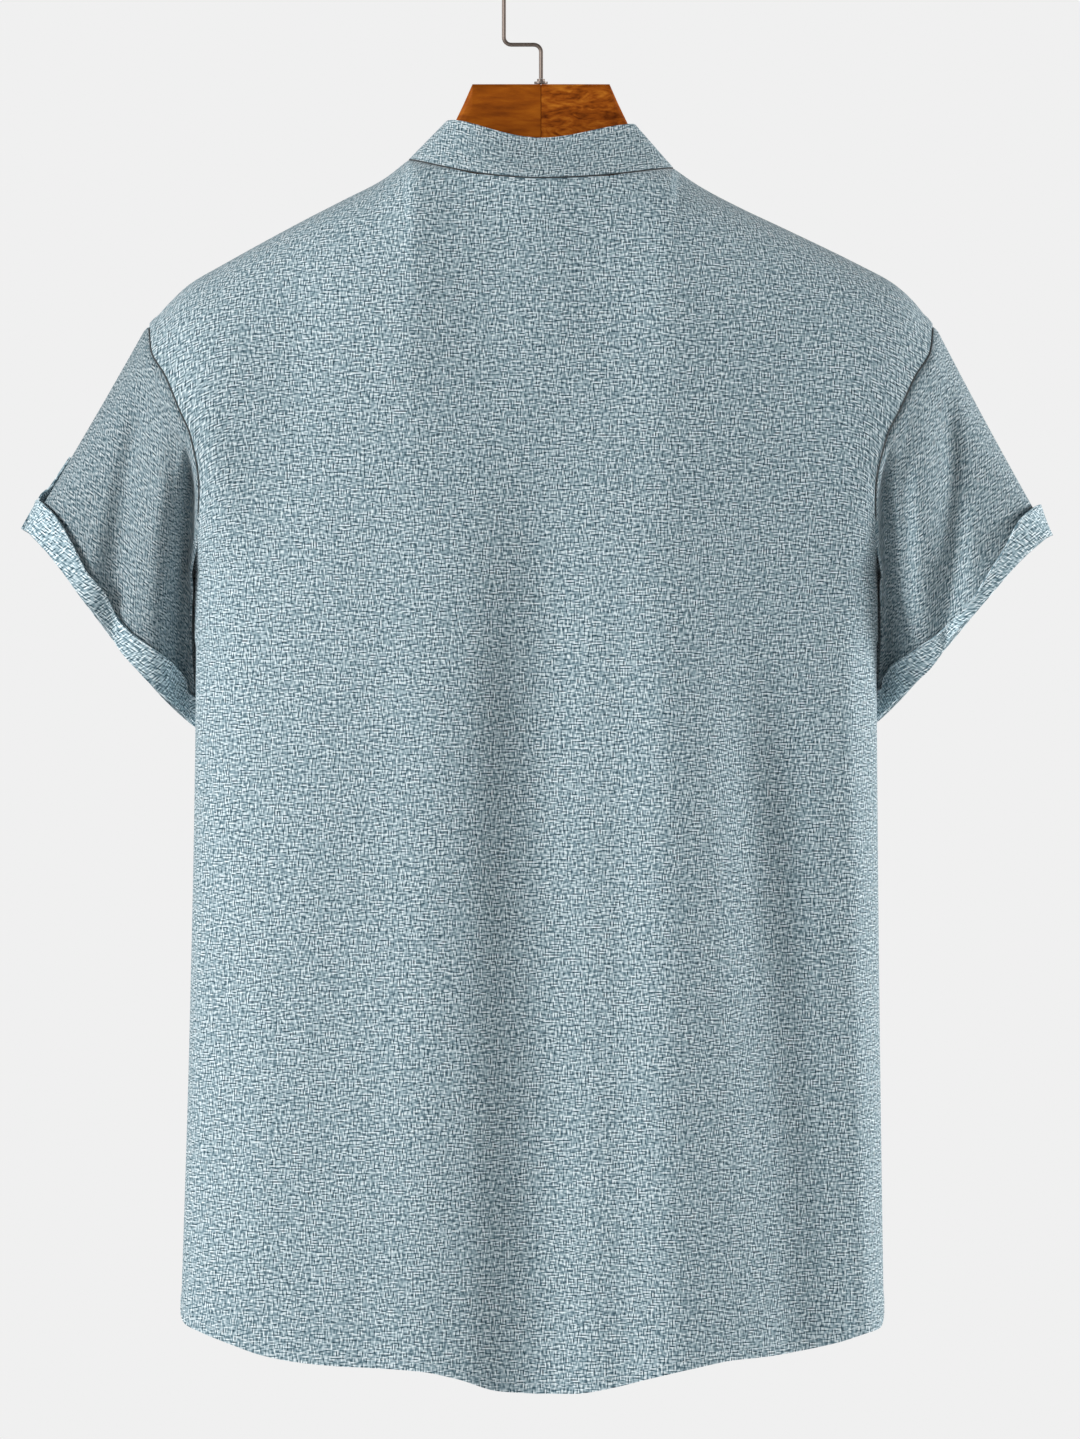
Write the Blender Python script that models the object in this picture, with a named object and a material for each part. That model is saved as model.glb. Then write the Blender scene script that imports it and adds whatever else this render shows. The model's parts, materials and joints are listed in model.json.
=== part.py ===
"""Short-sleeved shirt with a band collar and turned-up cuffs, hung on a wooden suit hanger.

Metres, +Z up. The shirt's front faces -Y and its wearer's left is +X. The origin is the inner top of the
hanger's hook, where the rail carries it. Every cloth piece is a wall of even thickness built on a grid of
points across its middle surface, and the pieces share the seam curves between them.
"""
import math

import bpy
import numpy as np

# Cloth
CLOTH = 0.0012            # thickness of one wall
SEAM_GAP = 0.0003         # free space between two pieces
TURNED_CLOTH = 0.0018     # thickness of the turned-up cuff

# Body of the shirt
CENTRE_X = 0.0030         # the hung body sits a little to the wearer's left
UNDERARM_Z = -0.376
BACK_ROUNDNESS = 2.3      # exponent of the body's sections: 2 is an oval, more is boxier
FRONT_ROUNDNESS = 3.0
SIDE_SEAM_Z = -0.832      # hem at the side seam
FRONT_HEM_Z = -0.868      # hem at the centre front
FRONT_HEM_FLATNESS = 2.2  # how long the front hem stays low
FRONT_HEM_SWING = 1.3     # how gently it meets the side seam
HALF_PANEL = 0.262        # run of the half panel from the centre to the side seam
SIDE_TRIM = 0.0010        # share of the half panel left free at each side seam
BODY_SECTIONS = [
    # height, left side, right side, back depth, front depth
    (-0.376, 0.2130, -0.2072, 0.074, 0.062),
    (-0.480, 0.2137, -0.2077, 0.076, 0.064),
    (-0.660, 0.2172, -0.2094, 0.073, 0.062),
    (-0.880, 0.2240, -0.2125, 0.066, 0.056),
]
SECTION_COLUMNS = ("height", "left", "right", "back", "front")

# Back hem, by share of the way from the centre back to the side seam
HEM_SECTIONS = [
    # share, left height, right height
    (0.000, -0.8830, -0.8830),
    (0.094, -0.8812, -0.8828),
    (0.198, -0.8732, -0.8787),
    (0.292, -0.8686, -0.8728),
    (0.397, -0.8670, -0.8668),
    (0.502, -0.8660, -0.8622),
    (0.597, -0.8640, -0.8606),
    (0.693, -0.8600, -0.8575),
    (0.790, -0.8528, -0.8530),
    (0.876, -0.8465, -0.8475),
    (0.935, -0.8425, -0.8450),
    (1.000, SIDE_SEAM_Z, SIDE_SEAM_Z),
]
HEM_COLUMNS = ("share", "left", "right")

# Neck and shoulders
NECK_SHARE = 0.34         # share of the half panel's top edge that is neckline
NECK_HALF_WIDTH = 0.0825
NECK_BACK_Y = 0.046
NECK_FRONT_Y = -0.060
NECK_SIDE_Y = -0.002
NECK_BACK_Z = -0.1365
NECK_FRONT_Z = -0.1960
NECK_CENTRE_Y = -0.008    # middle of the neck opening, which the collar leans towards
NECK_BACK_CURVE = 2.2     # how late the back neckline rises to the shoulder
NECK_FRONT_CURVE = 1.1
SHOULDER_REACH = 0.2425
SHOULDER_FORWARD = 0.014  # how far the arms' ends curve to the front
SHOULDER_LINE = [
    # distance from the middle, left height, right height
    (0.0825, -0.1230, -0.1282),
    (0.0980, -0.1348, -0.1387),
    (0.1234, -0.1478, -0.1521),
    (0.1500, -0.1614, -0.1645),
    (0.1990, -0.1880, -0.1880),
    (0.2176, -0.1988, -0.1980),
    (0.2300, -0.2100, -0.2085),
    (0.2425, -0.2240, -0.2240),
]
SHOULDER_COLUMNS = ("reach", "left", "right")
SHOULDER_TRIM = 0.00042   # each panel stops this far short of the shoulder seam
DRAPE_POWER = 4.0         # how soon the cloth turns down past the hanger's arm
DRAPE_ROUNDING = 0.5
NECK_DRAPE_POWER = 2.0    # the same below the neck, where it hangs flatter
DRAPE_START_SHARES = {1: 0.060, -1: 0.255}  # the back's and the front's drape over the arm starts here
DRAPE_BLEND_SHARE = 0.30  # over this much of the half panel

# Armhole, from the shoulder's tip down to the underarm
ARMHOLE_DEPTH = 0.046
ARMHOLE_ROUNDNESS = 0.8   # less than one makes the oval fuller
ARMHOLE_LINE = [
    # height, distance from the middle
    (-0.2240, 0.2425),
    (-0.2420, 0.2400),
    (-0.2580, 0.2306),
    (-0.2790, 0.2214),
    (-0.2960, 0.2140),
    (-0.3300, 0.2086),
    (-0.3760, 0.2122),
]
ARMHOLE_COLUMNS = ("height", "reach")
ARMHOLE_BLEND = 0.60      # share of the half panel where the armhole starts to pull
ARMHOLE_PULL_POWER = 1.6

# Large folds of the body: a ridge has a positive height and a trough a negative one
BACK_FOLDS = [
    # x at top, x at hem, top height, half width, rise
    (0.060, 0.069, -0.26, 0.040, 0.0065),
    (-0.002, 0.004, -0.22, 0.034, -0.0060),
    (-0.078, -0.092, -0.24, 0.036, 0.0065),
    (-0.130, -0.165, -0.34, 0.040, -0.0070),
    (-0.186, -0.200, -0.30, 0.013, 0.0035),
]
FRONT_FOLDS = [
    (0.080, 0.095, -0.30, 0.040, 0.0060),
    (0.140, 0.150, -0.34, 0.034, -0.0050),
    (-0.085, -0.080, -0.28, 0.042, 0.0060),
    (-0.145, -0.150, -0.36, 0.034, -0.0050),
]
FOLD_COLUMNS = ("x_top", "x_hem", "start", "half_width", "rise")
FOLD_GROWTH = 2.5         # a fold has its full rise after 1 / 2.5 of its drop
SEAM_CALM = 14.0          # folds fade out over the last 1 / 14 of the half panel

# Fineness of the body's grids
YOKE_ROWS = 12
YOKE_CROWDING = 1.7       # above one crowds the rows towards the shoulder
LOWER_ROWS = 14
BACK_POINTS = 31
FRONT_POINTS = 15

# Placket and front buttons
PLACKET_HALF_WIDTH = 0.016
PLACKET_LIFT = CLOTH + SEAM_GAP
UNDERLAP = 0.011          # the right front's reach past the centre, under the placket
BUTTON_COUNT = 7
BUTTON_RADIUS = 0.0055
BUTTON_THICKNESS = 0.0024
BUTTON_SIDES = 18
BUTTON_RIM = 0.0006
TOP_BUTTON_Z = -0.222
BOTTOM_BUTTON_Z = -0.770

# Collar band
COLLAR_END_GAP = 0.0030   # between the two ends at the centre front
COLLAR_SECTIONS = [
    # turn in degrees from the centre back towards the left, lean towards the neck, rise
    (-180.0, 0.0080, 0.0335),
    (-135.0, 0.0150, 0.0300),
    (-90.0, 0.0245, 0.0280),
    (-45.0, 0.0235, 0.0285),
    (0.0, 0.0235, 0.0265),
    (45.0, 0.0235, 0.0275),
    (90.0, 0.0240, 0.0245),
    (135.0, 0.0150, 0.0300),
    (180.0, 0.0080, 0.0335),
]
COLLAR_COLUMNS = ("turn", "lean", "rise")
COLLAR_ROWS = 4
COLLAR_POINTS = 45
SEAM_LOOK_TURN = 0.02     # half the stretch of seam that gives its direction

# Sleeves, described for the wearer's left and mirrored for the right
SLEEVE_START = 0.0016     # from the armhole seam to the sleeve's first ring
OPENINGS = {
    # reach and height of each opening's outer end, then of its inner end; its edge sags between them,
    # and swings up near the outer end and down near the inner one
    "left": (0.3188, -0.3530, 0.2075, -0.4770, 0.0036, 0.0035),
    "right": (0.3150, -0.3560, 0.2015, -0.4745, -0.0005, 0.0034),
}
OPENING_HALF_DEPTH = 0.036
FRONT_DIP = 0.0022        # the front half of the opening hangs a little lower
OUTER_FORWARD = 0.006     # the opening's outer end lies this far to the front
INNER_FORWARD = 0.042     # and its inner end lies further forward, beside the body
INNER_SHARE_POWER = 1.5
BODY_CLEARANCE = 0.0026   # from the body's middle surface to the sleeve's where they lie together
CUFF_CLEARANCE = 0.0046   # and to the sleeve's under the cuff
CLEARANCE_SHARES = (0.10, 0.80)  # shares of the sleeve's length between which it changes
ARMHOLE_CLEARANCE = 0.0022       # added beside the armhole, where the body's panels stand out a little
ARMHOLE_CLEARANCE_SHARE = 0.07   # reached at this share of the sleeve's length
ARMHOLE_CLEARANCE_FADE = 0.014   # and lost again over this depth below the underarm
SLEEVE_TAKE_IN = 0.0008   # dip of the outer edge between shoulder and cuff
SLEEVE_FOLDS = {
    # turn in degrees from the outer edge at the armhole and at the opening, half width in degrees, rise
    "left": [
        (28.0, 90.0, 20.0, -0.0055),
        (56.0, 122.0, 18.0, 0.0030),
        (98.0, 142.0, 21.0, -0.0150),
        (258.0, 258.0, 24.0, 0.0040),
        (300.0, 300.0, 22.0, -0.0050),
    ],
    "right": [
        (12.0, 100.0, 16.0, -0.0060),
        (45.0, 125.0, 18.0, 0.0035),
        (100.0, 145.0, 19.0, -0.0105),
        (258.0, 258.0, 24.0, 0.0040),
        (300.0, 300.0, 22.0, -0.0050),
    ],
}
SLEEVE_FOLD_COLUMNS = ("turn", "end_turn", "half_turn", "rise")
SLEEVE_FOLD_GROWTH = 3.0
SLEEVE_POINTS = 38
SLEEVE_RINGS = 17

# Turned-up cuff, by turn from the outer edge over the back
CUFF_SECTIONS = [
    # turn in degrees, width of the left band, width of the right band
    (0.0, 0.0205, 0.0205),
    (30.0, 0.0200, 0.0195),
    (51.0, 0.0165, 0.0130),
    (69.0, 0.0125, 0.0090),
    (82.0, 0.0120, 0.0060),
    (95.0, 0.0130, 0.0100),
    (115.0, 0.0185, 0.0165),
    (137.0, 0.0205, 0.0205),
    (250.0, 0.0200, 0.0200),
    (360.0, 0.0205, 0.0200),
]
CUFF_COLUMNS = ("turn", "left", "right")
CUFF_RINGS = 5
CUFF_LOOK_STEPS = 40      # lengths at which the sleeve is read to lay the cuff on it
CUFF_LIFT = CLOTH / 2 + 0.0007 + TURNED_CLOTH / 2

# Roll tab on the sleeve's outer edge
TAB_HALF_TURN = 17.0      # degrees of the sleeve that half the tab covers
TAB_TURNS = {"left": -18.0, "right": -32.0}  # the tab lies on the front of the outer edge
TAB_START = 0.64          # share of the sleeve's length where the tab begins
TAB_STAND_OFF = 0.0009    # at its edges, halfway along
CUFF_EDGE_SHARE = 0.81    # share of the sleeve's length where the tab climbs over the cuff
TAB_CLIMB_SHARE = 0.06    # over this much of the length
TAB_BUTTON_SHARE = 0.22   # place of the button along the tab
TAB_ROWS = 9
TAB_POINTS = 5

# Hanger
ARM_SECTIONS = [
    # distance from the middle, top height, bottom height, half thickness, squareness
    (0.0002, -0.0750, -0.1330, 0.0072, 5.0),
    (0.0200, -0.0750, -0.1330, 0.0072, 5.0),
    (0.0425, -0.0750, -0.1345, 0.0070, 5.0),
    (0.0478, -0.0870, -0.1365, 0.0068, 4.5),
    (0.0545, -0.1010, -0.1390, 0.0066, 4.0),
    (0.0620, -0.1180, -0.1430, 0.0070, 3.0),
    (0.0820, -0.1365, -0.1560, 0.0074, 2.4),
    (0.0980, -0.1452, -0.1650, 0.0084, 2.2),
    (0.1240, -0.1562, -0.1780, 0.0102, 2.2),
    (0.1500, -0.1673, -0.1920, 0.0120, 2.2),
    (0.1760, -0.1795, -0.2070, 0.0132, 2.2),
    (0.1990, -0.1908, -0.2200, 0.0135, 2.2),
    (0.2110, -0.1988, -0.2260, 0.0128, 2.2),
    (0.2190, -0.2060, -0.2270, 0.0105, 2.2),
    (0.2240, -0.2130, -0.2240, 0.0060, 2.2),
]
ARM_COLUMNS = ("reach", "top", "bottom", "half_thickness", "squareness")
ARM_SIDES = 16

# Hook of bent wire
WIRE_RADIUS = 0.00125
HOOK_RADIUS = 0.0230      # centre line of the wire
HOOK_END_TURN = 176.0     # degrees round the arc to the tip
HOOK_OFFSET = HOOK_RADIUS # the upright leg stands this far to the left of the middle
CRANK_Z = -0.0505         # level piece between the two uprights
CRANK_BEND = 0.0045
HOOK_STEP = 8.0           # degrees between points of the arc
HOOK_CENTRING_TURN = 60.0 # the wire has come over the origin by here
FOOT_Z = -0.0715
FERRULE_RADIUS = 0.0042
FERRULE_HEIGHT = 0.0012
STUD_RADIUS = 0.0024
FERRULE_SIDES = 20
HANGER_TOP_Z = -0.0750

# Finishes: red, green, blue, roughness, metallic
FINISHES = {
    "cloth": (0.33, 0.44, 0.49, 0.90, 0.0),
    "cuff_cloth": (0.37, 0.47, 0.52, 0.90, 0.0),
    "button": (0.30, 0.38, 0.42, 0.40, 0.0),
    "wood": (0.28, 0.08, 0.02, 0.35, 0.0),
    "wire": (0.55, 0.50, 0.46, 0.30, 1.0),
}


def columns(table, names):
    """Return the table as one array for each named column."""
    return {name: np.array([row[place] for row in table]) for place, name in enumerate(names)}


def smooth_lookup(position, places, values):
    """Read a smooth curve through the table's values, with no overshoot between them."""
    order = np.argsort(places)
    xs = np.asarray(places, float)[order]
    ys = np.asarray(values, float)[order]
    steps = np.diff(xs)
    slopes = np.diff(ys) / steps
    tangents = np.zeros_like(ys)
    tangents[0] = slopes[0]
    tangents[-1] = slopes[-1]
    for i in range(1, len(xs) - 1):
        if slopes[i - 1] * slopes[i] > 0:
            tangents[i] = 2 * slopes[i - 1] * slopes[i] / (slopes[i - 1] + slopes[i])
    position = min(max(position, xs[0]), xs[-1])
    i = min(int(np.searchsorted(xs, position, side="right")) - 1, len(steps) - 1)
    t = (position - xs[i]) / steps[i]
    return (
        ys[i] * (1 + 2 * t) * (1 - t) ** 2
        + steps[i] * tangents[i] * t * (1 - t) ** 2
        + ys[i + 1] * t * t * (3 - 2 * t)
        + steps[i] * tangents[i + 1] * t * t * (t - 1)
    )


def mix(a, b, share):
    """Straight blend from a to b."""
    return a + (b - a) * share


def ease(share):
    """Blend from 0 to 1 that starts and ends level."""
    share = min(max(share, 0.0), 1.0)
    return share * share * (3 - 2 * share)


SECTIONS = columns(BODY_SECTIONS, SECTION_COLUMNS)
HEM = columns(HEM_SECTIONS, HEM_COLUMNS)
SHOULDER = columns(SHOULDER_LINE, SHOULDER_COLUMNS)
ARMHOLE = columns(ARMHOLE_LINE, ARMHOLE_COLUMNS)
COLLAR = columns(COLLAR_SECTIONS, COLLAR_COLUMNS)
CUFF = columns(CUFF_SECTIONS, CUFF_COLUMNS)


def quarter_curve(roundness, samples=400):
    """Unit quarter of the body's section from the centre line to the side seam."""
    turn = np.linspace(0, math.pi / 2, samples)
    return np.sin(turn) ** (2 / roundness), np.cos(turn) ** (2 / roundness)


QUARTERS = {1: quarter_curve(BACK_ROUNDNESS), -1: quarter_curve(FRONT_ROUNDNESS)}


def body_section(height, share, face):
    """Point of the section at a height; share runs -1 right seam, 0 centre, 1 left seam."""
    side = smooth_lookup(height, SECTIONS["height"], SECTIONS["left" if share >= 0 else "right"])
    depth = smooth_lookup(height, SECTIONS["height"], SECTIONS["back" if face > 0 else "front"])
    across = QUARTERS[face][0] * abs(side - CENTRE_X)
    outward = QUARTERS[face][1] * depth
    run = np.concatenate([[0], np.cumsum(np.hypot(np.diff(across), np.diff(outward)))])
    place = abs(share) * run[-1]
    x = CENTRE_X + math.copysign(1.0, share) * np.interp(place, run, across)
    return np.array([x, face * np.interp(place, run, outward), height])


def shoulder_y(reach):
    """The shoulder line follows the hanger's arm, whose end curves to the front."""
    return NECK_SIDE_Y - SHOULDER_FORWARD * (reach / SHOULDER_REACH) ** 2


def shoulder_height(reach, side):
    """Height of the shoulder seam; the wearer's right hangs a little lower at the neck."""
    return smooth_lookup(reach, SHOULDER["reach"], SHOULDER["left" if side > 0 else "right"])


def neck_point(turn, face):
    """Neck seam; turn runs 0 at the centre to a quarter turn at the left or right shoulder."""
    middle_y = NECK_BACK_Y if face > 0 else NECK_FRONT_Y
    middle_z = NECK_BACK_Z if face > 0 else NECK_FRONT_Z
    side_y = shoulder_y(NECK_HALF_WIDTH)
    side_z = shoulder_height(NECK_HALF_WIDTH, turn)
    x = NECK_HALF_WIDTH * math.sin(turn)
    y = side_y + (middle_y - side_y) * math.cos(turn)
    curve = NECK_BACK_CURVE if face > 0 else NECK_FRONT_CURVE
    z = mix(middle_z, side_z, 1 - math.cos(turn) ** curve)
    return np.array([x, y, z])


def top_edge(share, face):
    """Neckline and shoulder seam of a panel, from the centre outwards."""
    side = math.copysign(1.0, share)
    share = abs(share)
    if share <= NECK_SHARE:
        part = share / NECK_SHARE
        turn = 0.5 * (math.asin(min(part, 1.0)) + part * math.pi / 2)
        return neck_point(side * turn, face)
    part = (share - NECK_SHARE) / (1 - NECK_SHARE)
    reach = mix(NECK_HALF_WIDTH, SHOULDER_REACH, part)
    return np.array([side * reach, shoulder_y(reach), shoulder_height(reach, side)])


def armhole_point(drop, side, face):
    """Armhole seam; drop runs 0 at the shoulder's tip to 1 at the underarm."""
    height = mix(ARMHOLE["height"][0], UNDERARM_Z, drop)
    reach = smooth_lookup(height, ARMHOLE["height"], ARMHOLE["reach"])
    underarm = abs(body_section(UNDERARM_Z, side, face)[0])
    reach += (underarm - ARMHOLE["reach"][-1]) * ease(drop)
    top_y = shoulder_y(SHOULDER_REACH)
    y = mix(top_y, 0.0, drop) + face * ARMHOLE_DEPTH * math.sin(math.pi * drop) ** ARMHOLE_ROUNDNESS
    return np.array([side * reach, y, height])


def fold_rise(x, height, table):
    """Sum of the large folds at a place on the front or the back."""
    total = 0.0
    for row in table:
        fold = dict(zip(FOLD_COLUMNS, row))
        drop = (fold["start"] - height) / (fold["start"] - SECTIONS["height"][-1])
        middle = mix(fold["x_top"], fold["x_hem"], max(drop, 0.0))
        away = abs(x - middle) / fold["half_width"]
        if away < 1:
            total += fold["rise"] * (1 + math.cos(math.pi * away)) / 2 * ease(drop * FOLD_GROWTH)
    return total


def hem_height(share, face):
    """Height of the hem along the half panel."""
    if face > 0:
        return smooth_lookup(abs(share), HEM["share"], HEM["left" if share >= 0 else "right"])
    dip = (1 - abs(share) ** FRONT_HEM_FLATNESS) ** FRONT_HEM_SWING
    return mix(SIDE_SEAM_Z, FRONT_HEM_Z, dip)


def yoke_point(share, drop, face):
    """Point between the top edge and the underarm level; drop runs 0 to 1."""
    side = math.copysign(1.0, share)
    above = top_edge(share, face)
    below = body_section(UNDERARM_Z, share, face)
    over_arm = (1 - (1 - drop) ** DRAPE_POWER) ** DRAPE_ROUNDING
    below_neck = 1 - (1 - drop) ** NECK_DRAPE_POWER
    turned = mix(below_neck, over_arm, ease((abs(share) - DRAPE_START_SHARES[face]) / DRAPE_BLEND_SHARE))
    point = mix(above, below, drop)
    point[1] = mix(above[1], below[1], turned)
    edge_above = top_edge(side, face)
    edge = mix(edge_above, body_section(UNDERARM_Z, side, face), drop)
    pull = armhole_point(drop, side, face) - edge
    weight = max(0.0, (abs(share) - ARMHOLE_BLEND) / (1 - ARMHOLE_BLEND)) ** ARMHOLE_PULL_POWER
    return point + pull * weight


def body_point(share, row, face):
    """Middle surface of the shirt's body; row runs 0 at the top, 1 at the underarm, 2 at the hem."""
    if row <= 1:
        point = yoke_point(share, row, face)
    else:
        height = mix(UNDERARM_Z, hem_height(share, face), row - 1)
        point = body_section(height, share, face)
    table = BACK_FOLDS if face > 0 else FRONT_FOLDS
    flat_part = ease((1 - abs(share)) * SEAM_CALM)
    point[1] += face * fold_rise(point[0], point[2], table) * flat_part
    return point


def body_rows():
    """Rows of a body panel, closer together over the shoulder."""
    yoke = [(step / YOKE_ROWS) ** YOKE_CROWDING for step in range(YOKE_ROWS)]
    lower = [1 + step / LOWER_ROWS for step in range(LOWER_ROWS + 1)]
    return yoke + lower


def unit(vectors):
    """Scale vectors to length one."""
    return vectors / np.maximum(np.linalg.norm(vectors, axis=-1, keepdims=True), 1e-12)


def grid_normals(points, ring):
    """Normals of a grid of points; a ring joins its last column to its first."""
    if ring:
        across = np.roll(points, -1, axis=1) - np.roll(points, 1, axis=1)
    else:
        across = np.gradient(points, axis=1)
    down = np.gradient(points, axis=0)
    return unit(np.cross(across, down))


def link(name, mesh, finish):
    """Put a mesh in the scene as one named piece with its finish."""
    piece = bpy.data.objects.new(name, mesh)
    bpy.context.scene.collection.objects.link(piece)
    material = bpy.data.materials.get(finish) or new_material(finish)
    mesh.materials.append(material)
    mesh.shade_smooth()
    mesh.set_sharp_from_angle(angle=math.radians(50))
    return piece


def new_material(finish):
    """Plain Principled material from the table of finishes."""
    red, green, blue, roughness, metallic = FINISHES[finish]
    material = bpy.data.materials.new(finish)
    material.use_nodes = True
    shader = material.node_tree.nodes["Principled BSDF"]
    shader.inputs["Base Color"].default_value = (red, green, blue, 1.0)
    shader.inputs["Roughness"].default_value = roughness
    shader.inputs["Metallic"].default_value = metallic
    return material


def outward_mesh(name, vertices, faces):
    """Closed mesh whose faces are turned to point out."""
    mesh = bpy.data.meshes.new(name)
    mesh.from_pydata([tuple(vertex) for vertex in vertices], [], faces)
    mesh.validate()
    corners = np.array(vertices)
    volume = 0.0
    for face in faces:
        for second, third in zip(face[1:-1], face[2:]):
            volume += np.dot(corners[face[0]], np.cross(corners[second], corners[third]))
    if volume < 0:
        mesh.flip_normals()
    return mesh


def wall(name, points, finish, thickness=CLOTH, ring=False, lift=0.0):
    """Cloth wall on a grid of rows and columns; lift moves its middle surface outwards."""
    points = np.asarray(points, float)
    normals = grid_normals(points, ring)
    middle = points + normals * lift
    outer = middle + normals * thickness / 2
    inner = middle - normals * thickness / 2
    rows, count = points.shape[:2]
    vertices = np.concatenate([outer.reshape(-1, 3), inner.reshape(-1, 3)])
    offset = rows * count
    faces = []
    for row in range(rows - 1):
        for column in range(count if ring else count - 1):
            nearby = (column + 1) % count
            a = row * count + column
            b = row * count + nearby
            c = b + count
            d = a + count
            faces.append((a, d, c, b))
            faces.append((offset + a, offset + b, offset + c, offset + d))
    for column in range(count if ring else count - 1):
        nearby = (column + 1) % count
        last = (rows - 1) * count
        faces.append((column, nearby, offset + nearby, offset + column))
        faces.append((last + nearby, last + column, offset + last + column, offset + last + nearby))
    if not ring:
        for row in range(rows - 1):
            first = row * count
            below = first + count
            faces.append((below, first, offset + first, offset + below))
            first += count - 1
            below += count - 1
            faces.append((first, below, offset + below, offset + first))
    return link(name, outward_mesh(name, vertices, faces), finish)


def panel_grid(shares, face):
    """Grid of a body panel with its normals outwards, clear of its neighbour at the shoulder seam."""
    grid = np.array([[body_point(share, row, face) for share in shares] for row in body_rows()])
    grid[0, :, 1] += face * SHOULDER_TRIM
    return grid if face > 0 else grid[:, ::-1]


def spread(start, end, count):
    """Evenly spread places."""
    return [float(place) for place in np.linspace(start, end, count)]


def make_back():
    """Back panel, cut in one piece."""
    shares = spread(-1 + SIDE_TRIM, 1 - SIDE_TRIM, BACK_POINTS)
    return wall("back", panel_grid(shares, 1), "cloth")


def centre_places():
    """Places across the centre front shared by the fronts and the placket."""
    half = PLACKET_HALF_WIDTH / HALF_PANEL
    underlap = UNDERLAP / HALF_PANEL
    return half, underlap


def make_fronts():
    """Two fronts; the right one runs on under the placket."""
    half, underlap = centre_places()
    gap = (SEAM_GAP * 2) / HALF_PANEL
    left = [underlap + gap] + spread(half, 1 - SIDE_TRIM, FRONT_POINTS)
    right = spread(-1 + SIDE_TRIM, -half, FRONT_POINTS) + [0.0, underlap]
    wall("front_left", panel_grid(left, -1), "cloth")
    wall("front_right", panel_grid(right, -1), "cloth")


def placket_grid():
    """Placket band on the fronts' own surface."""
    half, underlap = centre_places()
    return panel_grid([-half, 0.0, underlap, half], -1)


def make_placket():
    """Buttoned band down the centre front."""
    return wall("placket", placket_grid(), "cloth", lift=PLACKET_LIFT)


def neck_ring(turn):
    """Neck seam all round; turn runs 0 at the centre back to a half turn at the centre front."""
    if abs(turn) <= math.pi / 2:
        return neck_point(turn, 1)
    return neck_point(math.copysign(math.pi - abs(turn), turn), -1)


def collar_stand(turn):
    """Way and height of the collar at a place on the neck seam, square to the seam."""
    degrees = math.degrees(turn)
    base = neck_ring(turn)
    inward = unit(np.array([-base[0], NECK_CENTRE_Y - base[1], 0.0]))
    lean = smooth_lookup(degrees, COLLAR["turn"], COLLAR["lean"])
    rise = smooth_lookup(degrees, COLLAR["turn"], COLLAR["rise"])
    stand = inward * lean + np.array([0.0, 0.0, rise])
    seam = unit(neck_ring(turn + SEAM_LOOK_TURN) - neck_ring(turn - SEAM_LOOK_TURN))
    return unit(stand - seam * np.dot(stand, seam)), math.hypot(lean, rise)


def collar_grid():
    """Collar band standing on the neck seam, leaning in towards the neck."""
    end = math.pi - COLLAR_END_GAP / 2 / abs(NECK_FRONT_Y)
    start = SEAM_GAP + CLOTH
    turns = np.linspace(-end, end, COLLAR_POINTS)
    stands = [collar_stand(turn) for turn in turns]
    grid = []
    for share in np.linspace(0, 1, COLLAR_ROWS):
        heights = [mix(start, height, share) for way, height in stands]
        ways = [way for way, height in stands]
        grid.append([neck_ring(t) + way * height for t, way, height in zip(turns, ways, heights)])
    return grid


def make_collar():
    """Band collar, open at the centre front."""
    return wall("collar_band", collar_grid()[::-1], "cloth")


def body_reach(height, depth_y, side):
    """Distance from the middle plane to the body's side at a height and depth."""
    edge = smooth_lookup(height, SECTIONS["height"], SECTIONS["left" if side > 0 else "right"])
    depth = smooth_lookup(height, SECTIONS["height"], SECTIONS["back" if depth_y > 0 else "front"])
    roundness = BACK_ROUNDNESS if depth_y > 0 else FRONT_ROUNDNESS
    across = (1 - min(abs(depth_y) / depth, 1.0) ** roundness) ** (1 / roundness)
    return abs(edge - CENTRE_X) * across + side * CENTRE_X


def least_reach(point, length, side):
    """Distance from the middle plane at which the sleeve just clears the body."""
    first, last = CLEARANCE_SHARES
    clearance = mix(BODY_CLEARANCE, CUFF_CLEARANCE, ease((length - first) / (last - first)))
    beside_armhole = ease((point[2] - UNDERARM_Z) / ARMHOLE_CLEARANCE_FADE + 1)
    clearance += ARMHOLE_CLEARANCE * beside_armhole * ease(length / ARMHOLE_CLEARANCE_SHARE)
    return body_reach(point[2], point[1], side) + clearance


def sleeve_fold(turn, length, side):
    """Rise of the sleeve's folds at a turn round the sleeve and a share of its length."""
    total = 0.0
    for row in SLEEVE_FOLDS["left" if side > 0 else "right"]:
        fold = dict(zip(SLEEVE_FOLD_COLUMNS, row))
        away = abs(turn - mix(fold["turn"], fold["end_turn"], length)) / fold["half_turn"]
        if away < 1:
            total += fold["rise"] * (1 + math.cos(math.pi * away)) / 2
    return total * ease(length * SLEEVE_FOLD_GROWTH)


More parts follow.
